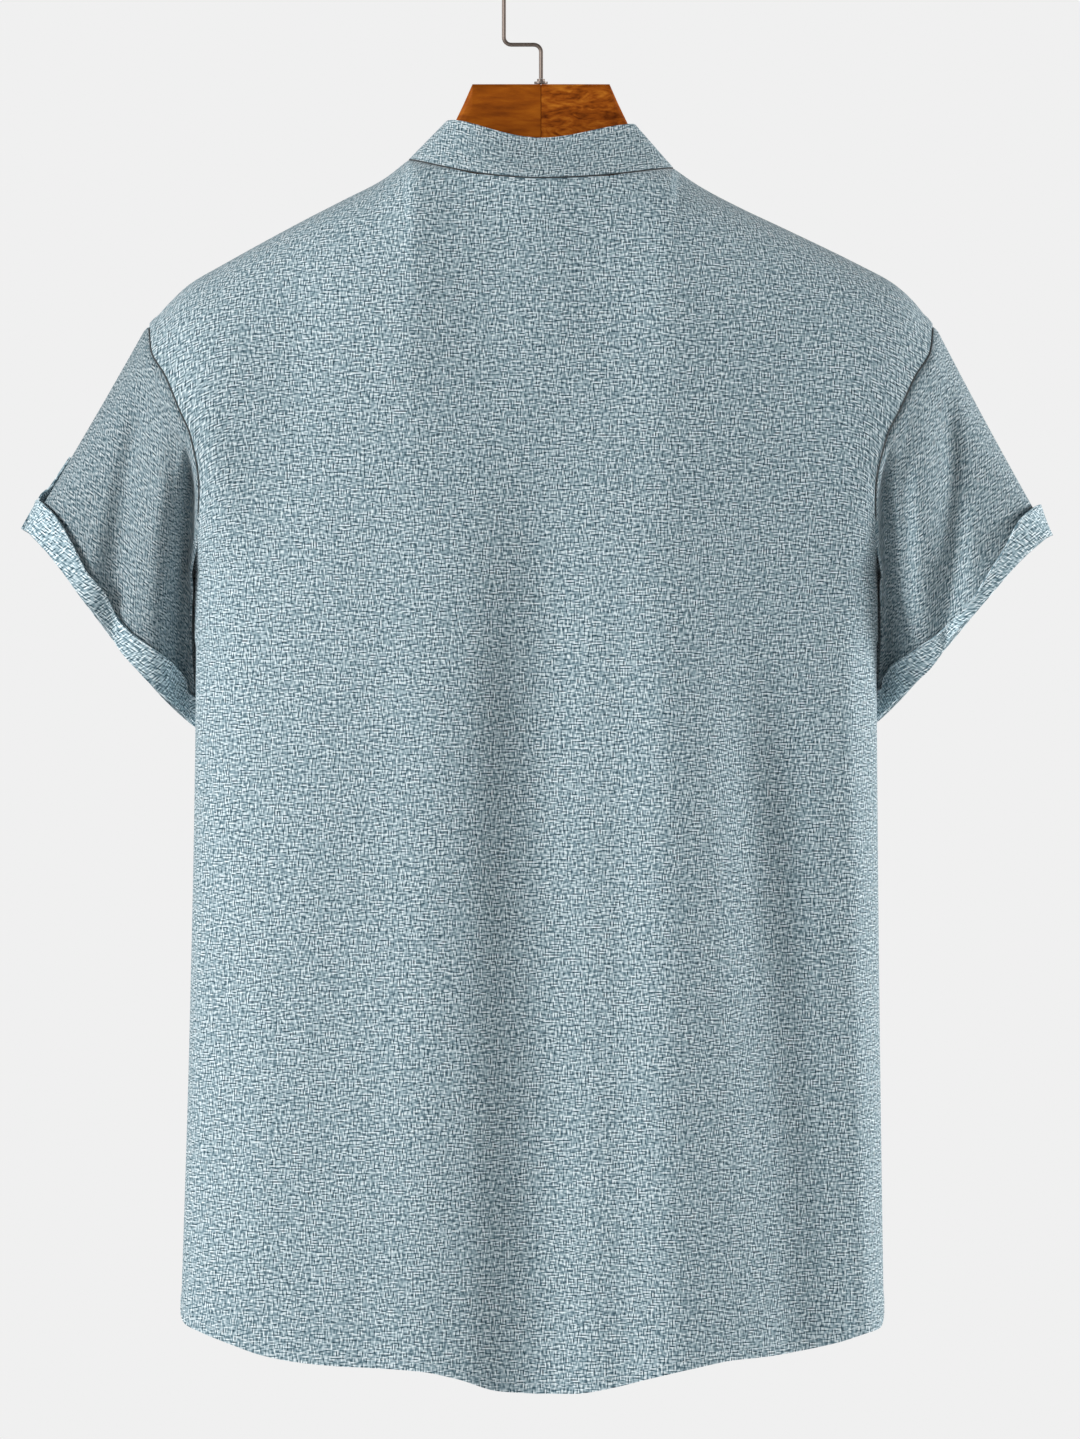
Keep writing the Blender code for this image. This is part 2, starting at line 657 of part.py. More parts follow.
def sleeve_point(turn, length, side):
    """Point of the sleeve; turn runs from the outer edge over the back, length from armhole to opening."""
    outer_x, outer_z, inner_x, inner_z, sag, swing = OPENINGS["left" if side > 0 else "right"]
    across = math.cos(turn)
    over = math.sin(turn)
    face = 1 if over >= 0 else -1
    start = armhole_point(math.acos(across) / math.pi, side, face)
    start[0] = abs(start[0]) + SLEEVE_START
    inner_share = ((1 - across) / 2) ** INNER_SHARE_POWER
    end = mix(np.array([inner_x, 0.0, inner_z]), np.array([outer_x, 0.0, outer_z]), (1 + across) / 2)
    end[1] = OPENING_HALF_DEPTH * over
    along = unit(np.array([outer_z - inner_z, 0.0, inner_x - outer_x]))
    hang = sag * over ** 2 - 2 * swing * abs(over) * across
    if face < 0:
        hang += FRONT_DIP * abs(over)
    end += along * hang
    point = mix(start, end, length)
    point[0] = mix(start[0], end[0], mix(length, length ** 2, inner_share))
    point[0] -= SLEEVE_TAKE_IN * math.sin(math.pi * length) * max(across, 0)
    point[1] -= mix(OUTER_FORWARD, INNER_FORWARD, inner_share) * (1 - (1 - length) ** 2)
    point[1] += over * sleeve_fold(math.degrees(turn) % 360, length, side)
    if across < 0:
        point[0] = max(point[0], least_reach(point, length, side))
    return point * np.array([side, 1, 1])


def sleeve_ring(length, side):
    """One ring of the sleeve; length runs 0 at the armhole to 1 at the opening."""
    turns = [2 * math.pi * step / SLEEVE_POINTS for step in range(SLEEVE_POINTS)]
    return [sleeve_point(turn, length, side) for turn in turns]


def outward_ring(rings, side):
    """Order the ring's points so that the wall's outer side faces away from the arm."""
    return [ring[::-1] for ring in rings] if side > 0 else rings


def make_sleeve(name, side):
    """Sleeve tube from the armhole seam to the opening."""
    rings = [sleeve_ring(length, side) for length in spread(0, 1, SLEEVE_RINGS)]
    return wall(name, outward_ring(rings, side), "cloth", ring=True)


def cuff_rings(side):
    """Turned-up band on the sleeve's own surface, from its upper edge to the fold."""
    run = np.array(sleeve_ring(0.0, side)) - np.array(sleeve_ring(1.0, side))
    reach = np.linalg.norm(run, axis=1)
    turns = np.linspace(0, 360, SLEEVE_POINTS, endpoint=False)
    column = CUFF["left" if side > 0 else "right"]
    widths = np.array([smooth_lookup(turn, CUFF["turn"], column) for turn in turns])
    full = [np.array(sleeve_ring(step / CUFF_LOOK_STEPS, side)) for step in range(CUFF_LOOK_STEPS + 1)]
    rings = []
    for row in range(CUFF_RINGS):
        shares = 1 - widths / reach * (1 - row / (CUFF_RINGS - 1))
        line = []
        for column, share in enumerate(shares):
            place = share * CUFF_LOOK_STEPS
            low = min(int(place), CUFF_LOOK_STEPS - 1)
            line.append(mix(full[low][column], full[low + 1][column], place - low))
        rings.append(line)
    return rings


def make_cuff(name, side):
    """Turned-up cuff lying on the sleeve."""
    rings = outward_ring(cuff_rings(side), side)
    return wall(name, rings, "cuff_cloth", TURNED_CLOTH, ring=True, lift=CUFF_LIFT)


def sleeve_normal(turn, length, side):
    """Way out of the sleeve at a place on it."""
    step = 0.01
    round_it = sleeve_point(turn + step, length, side) - sleeve_point(turn - step, length, side)
    down = sleeve_point(turn, length, side) - sleeve_point(turn, length - step, side)
    return unit(np.cross(round_it, down)) * -side


def tab_grid(side, rows=TAB_ROWS):
    """Roll tab on the sleeve's own surface, moved out over the cuff."""
    middle = TAB_TURNS["left" if side > 0 else "right"]
    grid = []
    for row in range(rows):
        part = row / (rows - 1)
        length = mix(TAB_START, 1.0, part)
        over_cuff = ease((length - CUFF_EDGE_SHARE) / TAB_CLIMB_SHARE + 0.5)
        line = []
        for share in spread(-1, 1, TAB_POINTS):
            turn = math.radians(middle + TAB_HALF_TURN * share)
            lift = CLOTH + SEAM_GAP * 2 + (TURNED_CLOTH + SEAM_GAP * 2) * over_cuff
            lift += TAB_STAND_OFF * math.sin(math.pi * part) * share ** 2
            line.append(sleeve_point(turn, length, side) + sleeve_normal(turn, length, side) * lift)
        grid.append(line)
    return grid


def make_tab(name, side):
    """Roll tab, lying on the cuff."""
    grid = tab_grid(side)
    ordered = [line[::-1] if side > 0 else line for line in grid]
    return wall(name, ordered, "cloth")


def button(name, centre, axis):
    """Round button with a softened rim, standing on its flat face."""
    axis = unit(np.array(axis, float))
    helper = np.array([0.0, 0.0, 1.0]) if abs(axis[2]) < 0.9 else np.array([1.0, 0.0, 0.0])
    first = unit(np.cross(axis, helper))
    second = np.cross(axis, first)
    levels = [
        (0.0, BUTTON_RADIUS),
        (BUTTON_THICKNESS - BUTTON_RIM, BUTTON_RADIUS),
        (BUTTON_THICKNESS, BUTTON_RADIUS - BUTTON_RIM),
    ]
    vertices = []
    for height, size in levels:
        for step in range(BUTTON_SIDES):
            turn = 2 * math.pi * step / BUTTON_SIDES
            spot = first * math.cos(turn) + second * math.sin(turn)
            vertices.append(np.array(centre) + axis * height + spot * size)
    faces = [tuple(range(BUTTON_SIDES))]
    for level in range(len(levels) - 1):
        for step in range(BUTTON_SIDES):
            a = level * BUTTON_SIDES + step
            b = level * BUTTON_SIDES + (step + 1) % BUTTON_SIDES
            faces.append((a, a + BUTTON_SIDES, b + BUTTON_SIDES, b))
    faces.append(tuple(range(len(vertices) - 1, len(vertices) - BUTTON_SIDES - 1, -1)))
    return link(name, outward_mesh(name, vertices, faces), "button")


def make_tab_button(name, side):
    """Small button that holds the roll tab."""
    rows = 4 * TAB_ROWS
    grid = np.array(tab_grid(side, rows))
    row = int(TAB_BUTTON_SHARE * rows)
    middle = grid[row, TAB_POINTS // 2]
    along = grid[row + 1, TAB_POINTS // 2] - grid[row - 1, TAB_POINTS // 2]
    beside = grid[row, -1] - grid[row, 0]
    axis = unit(np.cross(beside, along)) * side
    if np.dot(axis, middle - np.array([0.0, 0.0, middle[2]])) < 0:
        axis = -axis
    stand = middle + axis * (CLOTH / 2 + SEAM_GAP)
    return button(name, stand, axis)


def make_front_buttons():
    """Row of buttons down the placket."""
    grid = panel_grid([0.0], -1)[:, 0]
    for number, height in enumerate(spread(TOP_BUTTON_Z, BOTTOM_BUTTON_Z, BUTTON_COUNT), start=1):
        order = np.argsort(grid[:, 2])
        y = np.interp(height, grid[order, 2], grid[order, 1])
        stand_off = PLACKET_LIFT + CLOTH / 2 + SEAM_GAP * 2
        centre = (CENTRE_X, y - stand_off, height)
        button(f"button_{number}", centre, (0, -1, 0))


def loft(name, rings, finish):
    """Solid through closed rings of equal size, with flat ends."""
    rings = np.asarray(rings, float)
    count = rings.shape[1]
    vertices = rings.reshape(-1, 3)
    faces = [tuple(range(count)), tuple(range(len(vertices) - 1, len(vertices) - count - 1, -1))]
    for ring in range(len(rings) - 1):
        for step in range(count):
            a = ring * count + step
            b = ring * count + (step + 1) % count
            faces.append((a, a + count, b + count, b))
    return link(name, outward_mesh(name, vertices, faces), finish)


def make_arm(name, side):
    """One half of the hanger: a broad wooden arm, thicker and curved forward at its end."""
    table = columns(ARM_SECTIONS, ARM_COLUMNS)
    stations = [row[0] for row in ARM_SECTIONS]
    rings = []
    for place, reach in enumerate(stations):
        top = table["top"][place]
        bottom = table["bottom"][place]
        half = table["half_thickness"][place]
        ring = []
        for step in range(ARM_SIDES):
            turn = 2 * math.pi * (step + 0.5) / ARM_SIDES
            power = 2 / table["squareness"][place]
            across = math.copysign(abs(math.sin(turn)) ** power, math.sin(turn))
            up = math.copysign(abs(math.cos(turn)) ** power, math.cos(turn))
            y = shoulder_y(reach) + half * across
            z = (top + bottom) / 2 + (top - bottom) / 2 * up
            ring.append((side * reach, y, z))
        rings.append(ring)
    return loft(name, rings, "wood")


def bend(corner, before, after, radius, steps=6):
    """Round a right-angled corner of the wire's route."""
    centre = corner + before * radius + after * radius
    points = []
    for step in range(steps + 1):
        turn = math.pi / 2 * step / steps
        points.append(centre - after * radius * math.cos(turn) - before * radius * math.sin(turn))
    return points


def hook_route():
    """Centre line of the wire from its foot over the crank and round the hook to its tip."""
    up = np.array([0.0, 0.0, 1.0])
    left = np.array([1.0, 0.0, 0.0])
    foot_y = NECK_SIDE_Y
    centre_z = WIRE_RADIUS - HOOK_RADIUS
    points = [np.array([0.0, foot_y, FOOT_Z])]
    points += bend(np.array([0.0, foot_y, CRANK_Z]), -up, left, CRANK_BEND)
    points += bend(np.array([HOOK_OFFSET, foot_y, CRANK_Z]), -left, up, CRANK_BEND)
    for degrees in np.arange(0, HOOK_END_TURN + 1, HOOK_STEP):
        turn = math.radians(float(degrees))
        x = HOOK_RADIUS * math.cos(turn)
        z = centre_z + HOOK_RADIUS * math.sin(turn)
        points.append(np.array([x, foot_y * max(0.0, 1 - degrees / HOOK_CENTRING_TURN), z]))
    return points


def make_hook():
    """Bent wire hook."""
    curve = bpy.data.curves.new("hook_route", "CURVE")
    curve.dimensions = "3D"
    curve.bevel_depth = WIRE_RADIUS
    curve.bevel_resolution = 2
    curve.use_fill_caps = True
    route = hook_route()
    line = curve.splines.new("POLY")
    line.points.add(len(route) - 1)
    for place, point in zip(line.points, route):
        place.co = (*point, 1.0)
    piece = bpy.data.objects.new("hook", curve)
    bpy.context.scene.collection.objects.link(piece)
    curve.materials.append(bpy.data.materials.get("wire") or new_material("wire"))
    return piece


def make_ferrule():
    """Washer and stud where the wire enters the wood."""
    levels = [
        (HANGER_TOP_Z + SEAM_GAP, FERRULE_RADIUS),
        (HANGER_TOP_Z + SEAM_GAP + FERRULE_HEIGHT, FERRULE_RADIUS),
        (HANGER_TOP_Z + SEAM_GAP + FERRULE_HEIGHT, STUD_RADIUS),
        (FOOT_Z - SEAM_GAP, STUD_RADIUS),
    ]
    rings = []
    for height, radius in levels:
        turns = [2 * math.pi * step / FERRULE_SIDES for step in range(FERRULE_SIDES)]
        rings.append([(radius * math.cos(t), NECK_SIDE_Y + radius * math.sin(t), height) for t in turns])
    return loft("hook_ferrule", rings, "wire")


def clear_scene():
    """Remove what the file holds before building."""
    for piece in list(bpy.data.objects):
        bpy.data.objects.remove(piece, do_unlink=True)


def main():
    """Build every piece."""
    clear_scene()
    make_back()
    make_fronts()
    make_placket()
    make_front_buttons()
    make_collar()
    for side, word in ((1, "left"), (-1, "right")):
        make_sleeve(f"sleeve_{word}", side)
        make_cuff(f"cuff_{word}", side)
        make_tab(f"tab_{word}", side)
        make_tab_button(f"tab_button_{word}", side)
        make_arm(f"hanger_{word}", side)
    make_hook()
    make_ferrule()


main()
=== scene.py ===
"""Looks of the band-collar shirt on its wooden hanger: cloth shells, sewing, materials, light and camera.

Each cloth shell is rebuilt on its solid's own surface from the same sizes, with a finer grid, creases
placed one by one and a grain map in metres that the weave follows. Metres throughout, +Z up, the front
faces -Y. At the armhole the sleeve's shell starts at the body's edge, up to 8 mm off its solid.
"""
import json
import math

import bpy
import numpy as np
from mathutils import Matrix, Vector

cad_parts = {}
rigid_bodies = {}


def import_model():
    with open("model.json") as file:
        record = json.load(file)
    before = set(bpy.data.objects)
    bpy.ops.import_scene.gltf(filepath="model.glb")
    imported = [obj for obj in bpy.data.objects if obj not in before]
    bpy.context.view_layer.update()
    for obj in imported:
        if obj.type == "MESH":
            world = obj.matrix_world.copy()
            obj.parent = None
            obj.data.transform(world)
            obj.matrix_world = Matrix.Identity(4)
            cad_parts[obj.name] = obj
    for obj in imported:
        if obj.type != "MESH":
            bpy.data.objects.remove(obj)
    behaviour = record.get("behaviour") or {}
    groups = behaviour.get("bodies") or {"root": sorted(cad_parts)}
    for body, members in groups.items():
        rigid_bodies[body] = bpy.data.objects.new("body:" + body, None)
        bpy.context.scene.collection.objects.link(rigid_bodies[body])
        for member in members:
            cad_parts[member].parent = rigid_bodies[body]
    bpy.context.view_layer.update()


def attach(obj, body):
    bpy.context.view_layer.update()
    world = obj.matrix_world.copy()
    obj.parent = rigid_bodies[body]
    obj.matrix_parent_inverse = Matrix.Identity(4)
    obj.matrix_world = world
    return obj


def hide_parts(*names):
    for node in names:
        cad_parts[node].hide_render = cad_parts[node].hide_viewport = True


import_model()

# ---- sizes shared with the solids
# Tables keyed 1 and -1 hold the left and right side, or the back and front face.
CLOTH = 0.0012
SEAM_GAP = 0.0003
TURNED_CLOTH = 0.0018
CENTRE_X = 0.0030
UNDERARM_Z = -0.376
ROUNDNESS = {1: 2.3, -1: 3.0}
SECTION_SAMPLES = 400
SIDE_SEAM_Z = -0.832
FRONT_HEM_Z = -0.868
NECK_SHARE = 0.34
NECK_HALF_WIDTH = 0.0825
NECK_Y = {1: 0.046, -1: -0.060}
NECK_Z = {1: -0.1365, -1: -0.1960}
NECK_CURVES = {1: 2.2, -1: 1.1}
NECK_SIDE_Y = -0.002
NECK_CENTRE_Y = -0.008
SHOULDER_REACH = 0.2425
SHOULDER_FORWARD = 0.014
SHOULDER_TRIM = 0.00042
DRAPE_POWER = 4.0
DRAPE_ROUNDING = 0.5
ARMHOLE_DEPTH = 0.046
DRAPE_START_SHARES = {1: 0.060, -1: 0.255}
DRAPE_BLEND_SHARE = 0.30
ARMHOLE_ROUNDNESS = 0.8
ARMHOLE_BLEND = 0.60
ARMHOLE_BLEND_POWER = 1.6
SEAM_CALM = 14.0
TOP_CALM = 6.0
FOLD_GROWTH = 2.5
FRONT_HEM_POWERS = (2.2, 1.3)
HALF_PANEL = 0.262
SIDE_TRIM = 0.0010
PLACKET_HALF_WIDTH = 0.016
UNDERLAP = 0.011
SLEEVE_START = 0.0016
OPENING_HALF_DEPTH = 0.036
FRONT_DIP = 0.0022
OUTER_FORWARD = 0.006
INNER_FORWARD = 0.042
INNER_SHARE_POWER = 1.5
BODY_CLEARANCE = 0.0026
CUFF_CLEARANCE = 0.0046
CLEARANCE_SHARES = (0.10, 0.80)
ARMHOLE_CLEARANCE = 0.0022
ARMHOLE_CLEARANCE_SHARE = 0.07
ARMHOLE_CLEARANCE_FADE = 0.014
SLEEVE_TAKE_IN = 0.0008
CUFF_GAP = 0.0007
TAB_HALF_TURN = 17.0
TAB_TURNS = {1: -18.0, -1: -32.0}
TAB_START = 0.64
TAB_STAND_OFF = 0.0009
CUFF_EDGE_SHARE = 0.81
TAB_CLIMB_SHARE = 0.06
COLLAR_END_GAP = 0.0030


def columns(names, rows):
    """A table as one array for each named column."""
    return {name: np.array([row[place] for row in rows]) for place, name in enumerate(names.split())}


BODY = columns("height left right back front", [
    (-0.376, 0.2130, -0.2072, 0.074, 0.062),
    (-0.480, 0.2137, -0.2077, 0.076, 0.064),
    (-0.660, 0.2172, -0.2094, 0.073, 0.062),
    (-0.880, 0.2240, -0.2125, 0.066, 0.056),
])
HEM = columns("share left right", [
    (0.00, -0.8830, -0.8830),
    (0.094, -0.8812, -0.8828),
    (0.198, -0.8732, -0.8787),
    (0.292, -0.8686, -0.8728),
    (0.397, -0.8670, -0.8668),
    (0.502, -0.8660, -0.8622),
    (0.597, -0.8640, -0.8606),
    (0.693, -0.8600, -0.8575),
    (0.790, -0.8528, -0.8530),
    (0.876, -0.8465, -0.8475),
    (0.935, -0.8425, -0.8450),
    (1.00, SIDE_SEAM_Z, SIDE_SEAM_Z),
])
SHOULDER = columns("reach left right", [
    (0.0825, -0.1230, -0.1282),
    (0.0980, -0.1348, -0.1387),
    (0.1234, -0.1478, -0.1521),
    (0.1500, -0.1614, -0.1645),
    (0.1990, -0.1880, -0.1880),
    (0.2176, -0.1988, -0.1980),
    (0.2300, -0.2100, -0.2085),
    (0.2425, -0.2240, -0.2240),
])
ARMHOLE = columns("height reach", [
    (-0.2240, 0.2425),
    (-0.2420, 0.2400),
    (-0.2580, 0.2306),
    (-0.2790, 0.2214),
    (-0.2960, 0.2140),
    (-0.3300, 0.2086),
    (-0.3760, 0.2122),
])
COLLAR = columns("turn lean rise", [
    (-180.0, 0.0080, 0.0335),
    (-135.0, 0.0150, 0.0300),
    (-90.0, 0.0245, 0.0280),
    (-45.0, 0.0235, 0.0285),
    (0.0, 0.0235, 0.0265),
    (45.0, 0.0235, 0.0275),
    (90.0, 0.0240, 0.0245),
    (135.0, 0.0150, 0.0300),
    (180.0, 0.0080, 0.0335),
])
CUFF = columns("turn left right", [
    (0.0, 0.0205, 0.0205),
    (30.0, 0.0200, 0.0195),
    (51.0, 0.0165, 0.0130),
    (69.0, 0.0125, 0.0090),
    (82.0, 0.0120, 0.0060),
    (95.0, 0.0130, 0.0100),
    (115.0, 0.0185, 0.0165),
    (137.0, 0.0205, 0.0205),
    (250.0, 0.0200, 0.0200),
    (360.0, 0.0205, 0.0200),
])
OPENINGS = {
    # reach and height of the outer end, then of the inner end, then the edge's sag and swing
    1: (0.3188, -0.3530, 0.2075, -0.4770, 0.0036, 0.0035),
    -1: (0.3150, -0.3560, 0.2015, -0.4745, -0.0005, 0.0034),
}
FOLDS = {
    # x at top, x at hem, top height, half width, rise
    1: [
        (0.060, 0.069, -0.26, 0.046, 0.0046),
        (0.000, 0.002, -0.22, 0.046, -0.0090),
        (-0.080, -0.088, -0.24, 0.048, 0.0110),
        (-0.130, -0.165, -0.34, 0.042, -0.0120),
        (-0.186, -0.200, -0.30, 0.013, 0.0035),
    ],
    -1: [
        (0.080, 0.095, -0.30, 0.040, 0.0060),
        (0.140, 0.150, -0.34, 0.034, -0.0050),
        (-0.085, -0.080, -0.28, 0.042, 0.0060),
        (-0.145, -0.150, -0.36, 0.034, -0.0050),
    ],
}
SLEEVE_FOLDS = {
    # degrees from the outer edge at the armhole and at the opening, half width, rise, growth
    1: [
        (26.0, 90.0, 18.0, -0.0072, 3.0),
        (56.0, 120.0, 18.0, 0.0044, 3.0),
        (98.0, 145.0, 23.0, -0.0160, 9.0),
    ],
    -1: [
        (12.0, 98.0, 18.0, -0.0064, 3.0),
        (45.0, 125.0, 18.0, 0.0040, 3.0),
        (100.0, 147.0, 21.0, -0.0120, 9.0),
    ],
}
SLEEVE_FRONT_FOLDS = [(258.0, 258.0, 24.0, 0.0040, 3.0), (300.0, 300.0, 22.0, -0.0050, 3.0)]

# ---- creases placed one by one
CREASES = {
    # start x, start z, end x, end z, half width, rise: soft lines on the body, back then front
    1: [
        (0.196, -0.262, 0.150, -0.400, 0.014, -0.0012),
        (0.205, -0.300, 0.178, -0.520, 0.012, 0.0011),
        (-0.196, -0.262, -0.160, -0.380, 0.014, -0.0013),
        (-0.202, -0.300, -0.172, -0.560, 0.013, 0.0012),
        (0.120, -0.480, 0.135, -0.850, 0.016, -0.0011),
        (0.170, -0.560, 0.176, -0.840, 0.012, 0.0010),
        (0.030, -0.640, 0.036, -0.875, 0.020, 0.0006),
        (-0.045, -0.420, -0.040, -0.760, 0.020, -0.0005),
        (-0.196, -0.560, -0.200, -0.830, 0.010, -0.0012),
        (0.060, -0.170, 0.100, -0.230, 0.012, -0.0008),
        (-0.065, -0.175, -0.105, -0.235, 0.012, -0.0008),
    ],
    -1: [
        (0.196, -0.262, 0.140, -0.420, 0.014, -0.0013),
        (-0.196, -0.262, -0.150, -0.400, 0.014, -0.0013),
        (0.120, -0.420, 0.118, -0.840, 0.014, -0.0012),
        (-0.112, -0.440, -0.116, -0.830, 0.015, -0.0012),
        (0.050, -0.260, 0.055, -0.620, 0.012, 0.0009),
        (-0.052, -0.300, -0.050, -0.700, 0.012, 0.0009),
        (0.180, -0.500, 0.186, -0.820, 0.011, 0.0011),
        (-0.184, -0.520, -0.188, -0.820, 0.011, 0.0011),
    ],
}
SLEEVE_CREASES = [
    # start turn, start length, end turn, end length, half width in degrees, rise
    (40.0, 0.10, 52.0, 0.95, 9.0, -0.0010),
    (80.0, 0.05, 84.0, 0.85, 8.0, 0.0008),
    (120.0, 0.20, 112.0, 1.00, 9.0, -0.0012),
    (146.0, 0.10, 150.0, 0.90, 9.0, 0.0010),
    (236.0, 0.15, 232.0, 0.95, 10.0, -0.0012),
    (280.0, 0.10, 276.0, 0.90, 9.0, 0.0009),
    (322.0, 0.20, 318.0, 1.00, 9.0, -0.0010),
]
CREASE_REACH = 2.2  # half widths at which a crease ends
CREASE_ENDS = 0.7  # power with which a crease fades towards its ends
RUMPLE = 0.00035  # height of the cloth's faint unevenness
RUMPLE_WAVES = [
    # share, then for each of two crossing waves: radians a metre over and along the cloth, start
    (1.0, 31, 9, 1.3, -7, 17, 0.0),
    (0.6, 67, -23, 0.4, 11, 41, 2.0),
    (0.35, 131, 53, 0.0, -29, 97, 0.7),
]
SLEEVE_GRAIN_WAY = (0.60, -0.80)  # outward and upward parts of the sleeve's lengthwise threads

# ---- sewing
SEAM_SINK = 0.0018  # the sleeve's surface dips this far at the armhole seam
SEAM_ROLL_SHARE = 0.025  # share of the sleeve's length over which it rises again
SEAM_TUCK = 0.0035  # the sleeve runs on this far under the body's edge
SEAM_UNDER = 0.0010
SEAM_SHADOW_OUT = 0.0003  # painted shadow of the armhole seam: a near-black cord beside the panel's edge
SEAM_SHADOW_RAISE = -0.0001
SEAM_SHADOW_RADIUS = 0.0006
SEAM_SHADOW_START = 7  # rows of the panel before the line begins
TUBE_SIDES = 6
TUBE_ASIDE = (0.31, 0.95, 0.05)  # a way that no seam runs along
TUCK_SHARES = (1.0, 0.66, 0.33)
CUFF_FLARE = columns("turn lift", [
    # turn in degrees from the outer edge over the back, stand-off of the cuff's free edge
    (0.0, 0.0030),
    (40.0, 0.0028),
    (75.0, 0.0016),
    (95.0, 0.0010),
    (130.0, 0.0014),
    (180.0, 0.0004),
    (270.0, 0.0014),
    (330.0, 0.0022),
    (360.0, 0.0030),
])
HEM_ALLOWANCE = 0.0058  # stitch line above the hem's edge
HEM_STEP = 0.00045  # extra thickness of the turned hem
HEM_STEP_START = 0.95  # share of the allowance at which the step begins
HEM_STEP_RUN = 0.0009
WELT_STEP = 0.0008  # the armhole seam's allowance raises the body's edge
WELT_WIDTH = 0.0045
WELT_FADE = 0.0020
WELT_LAST_ROW = 1.1  # just under the underarm
PLACKET_STITCHES = (0.13, 0.87)  # shares of the placket's width
COLLAR_STITCHES = (0.0030, 0.0310)  # distances from the neck seam
CUFF_STITCH = 0.8  # share of the way from the cuff's free edge to its next row
CUFF_SAMPLES = 40  # rings over the outer half of the sleeve
CUFF_FLARE_POWER = 1.5
TAB_ROWS = 40
TAB_COLUMNS = 15
STITCH_PITCH = 0.0030
STITCH_LENGTH = 0.0022
THREAD = 0.00024
STITCH_HEIGHTS = (-0.25, 0.7, -0.25)  # threads above the cloth at its start, middle and end
STITCH_WIDTHS = (0.6, 1.0, 0.6)
ROW_CROWDING = 1.7  # power that draws the rows together over the shoulder
CLOTH_SHARP = 50.0  # degrees between faces that stay a sharp edge
HARD_SHARP = 40.0


def mix(a, b, share):
    """Straight blend from a to b."""
    return a + (b - a) * share


def ease(share):
    """Blend from 0 to 1 that starts and ends level."""
    share = np.clip(share, 0.0, 1.0)
    return share * share * (3 - 2 * share)


def unit(vectors):
    """Scale vectors to length one."""
    return vectors / np.maximum(np.linalg.norm(vectors, axis=-1, keepdims=True), 1e-12)


def curve_through(places, values):
    """Smooth curve through a table's values, with no overshoot between them."""
    order = np.argsort(places)
    xs = np.asarray(places, float)[order]
    ys = np.asarray(values, float)[order]
    steps = np.diff(xs)
    slopes = np.diff(ys) / steps
    tangents = np.concatenate([slopes[:1], np.zeros(len(xs) - 2), slopes[-1:]])
    for i, (before, after) in enumerate(zip(slopes, slopes[1:])):
        if before * after > 0:
            tangents[i + 1] = 2 * before * after / (before + after)

    def read(position):
        position = np.clip(position, xs[0], xs[-1])
        i = np.clip(np.searchsorted(xs, position, side="right") - 1, 0, len(steps) - 1)
        t = (position - xs[i]) / steps[i]
        return (
            ys[i] * (1 + 2 * t) * (1 - t) ** 2
            + steps[i] * tangents[i] * t * (1 - t) ** 2
            + ys[i + 1] * t * t * (3 - 2 * t)
            + steps[i] * tangents[i + 1] * t * t * (t - 1)
        )

    return read


def curve_pair(table, place, first, second):
    """The curves of both sides or faces."""
    return {1: curve_through(table[place], table[first]), -1: curve_through(table[place], table[second])}


SIDE_OF = curve_pair(BODY, "height", "left", "right")
DEPTH_OF = curve_pair(BODY, "height", "back", "front")
HEM_OF = curve_pair(HEM, "share", "left", "right")
SHOULDER_OF = curve_pair(SHOULDER, "reach", "left", "right")
CUFF_OF = curve_pair(CUFF, "turn", "left", "right")
ARMHOLE_OF = curve_through(ARMHOLE["height"], ARMHOLE["reach"])
LEAN_OF = curve_through(COLLAR["turn"], COLLAR["lean"])
RISE_OF = curve_through(COLLAR["turn"], COLLAR["rise"])
FLARE_OF = curve_through(CUFF_FLARE["turn"], CUFF_FLARE["lift"])


def quarter_curve(roundness):
    """Unit quarter of the body's section from the centre line to the side seam."""
    turn = np.linspace(0, math.pi / 2, SECTION_SAMPLES)
    return np.sin(turn) ** (2 / roundness), np.cos(turn) ** (2 / roundness)


QUARTERS = {face: quarter_curve(roundness) for face, roundness in ROUNDNESS.items()}


def sign_of(value):
    """1 for zero and up, -1 below."""
    return 1 if value >= 0 else -1


def body_section(height, share, face):
    """Point of the body's section; share runs -1 right seam, 0 centre, 1 left seam."""
    side = sign_of(share)
    across = QUARTERS[face][0] * abs(SIDE_OF[side](height) - CENTRE_X)
    outward = QUARTERS[face][1] * DEPTH_OF[face](height)
    run = np.concatenate([[0], np.cumsum(np.hypot(np.diff(across), np.diff(outward)))])
    place = abs(share) * run[-1]
    x = CENTRE_X + side * np.interp(place, run, across)
    return np.array([x, face * np.interp(place, run, outward), height])


def shoulder_y(reach):
    """The shoulder line follows the hanger's arm, whose end curves to the front."""
    return NECK_SIDE_Y - SHOULDER_FORWARD * (reach / SHOULDER_REACH) ** 2


def neck_point(turn, face):
    """Neck seam; turn runs 0 at the centre to a quarter turn at the shoulder."""
    side_z = SHOULDER_OF[sign_of(turn)](NECK_HALF_WIDTH)
    level = math.cos(turn)
    x = NECK_HALF_WIDTH * math.sin(turn)
    y = mix(shoulder_y(NECK_HALF_WIDTH), NECK_Y[face], level)
    return np.array([x, y, mix(NECK_Z[face], side_z, 1 - max(level, 0.0) ** NECK_CURVES[face])])


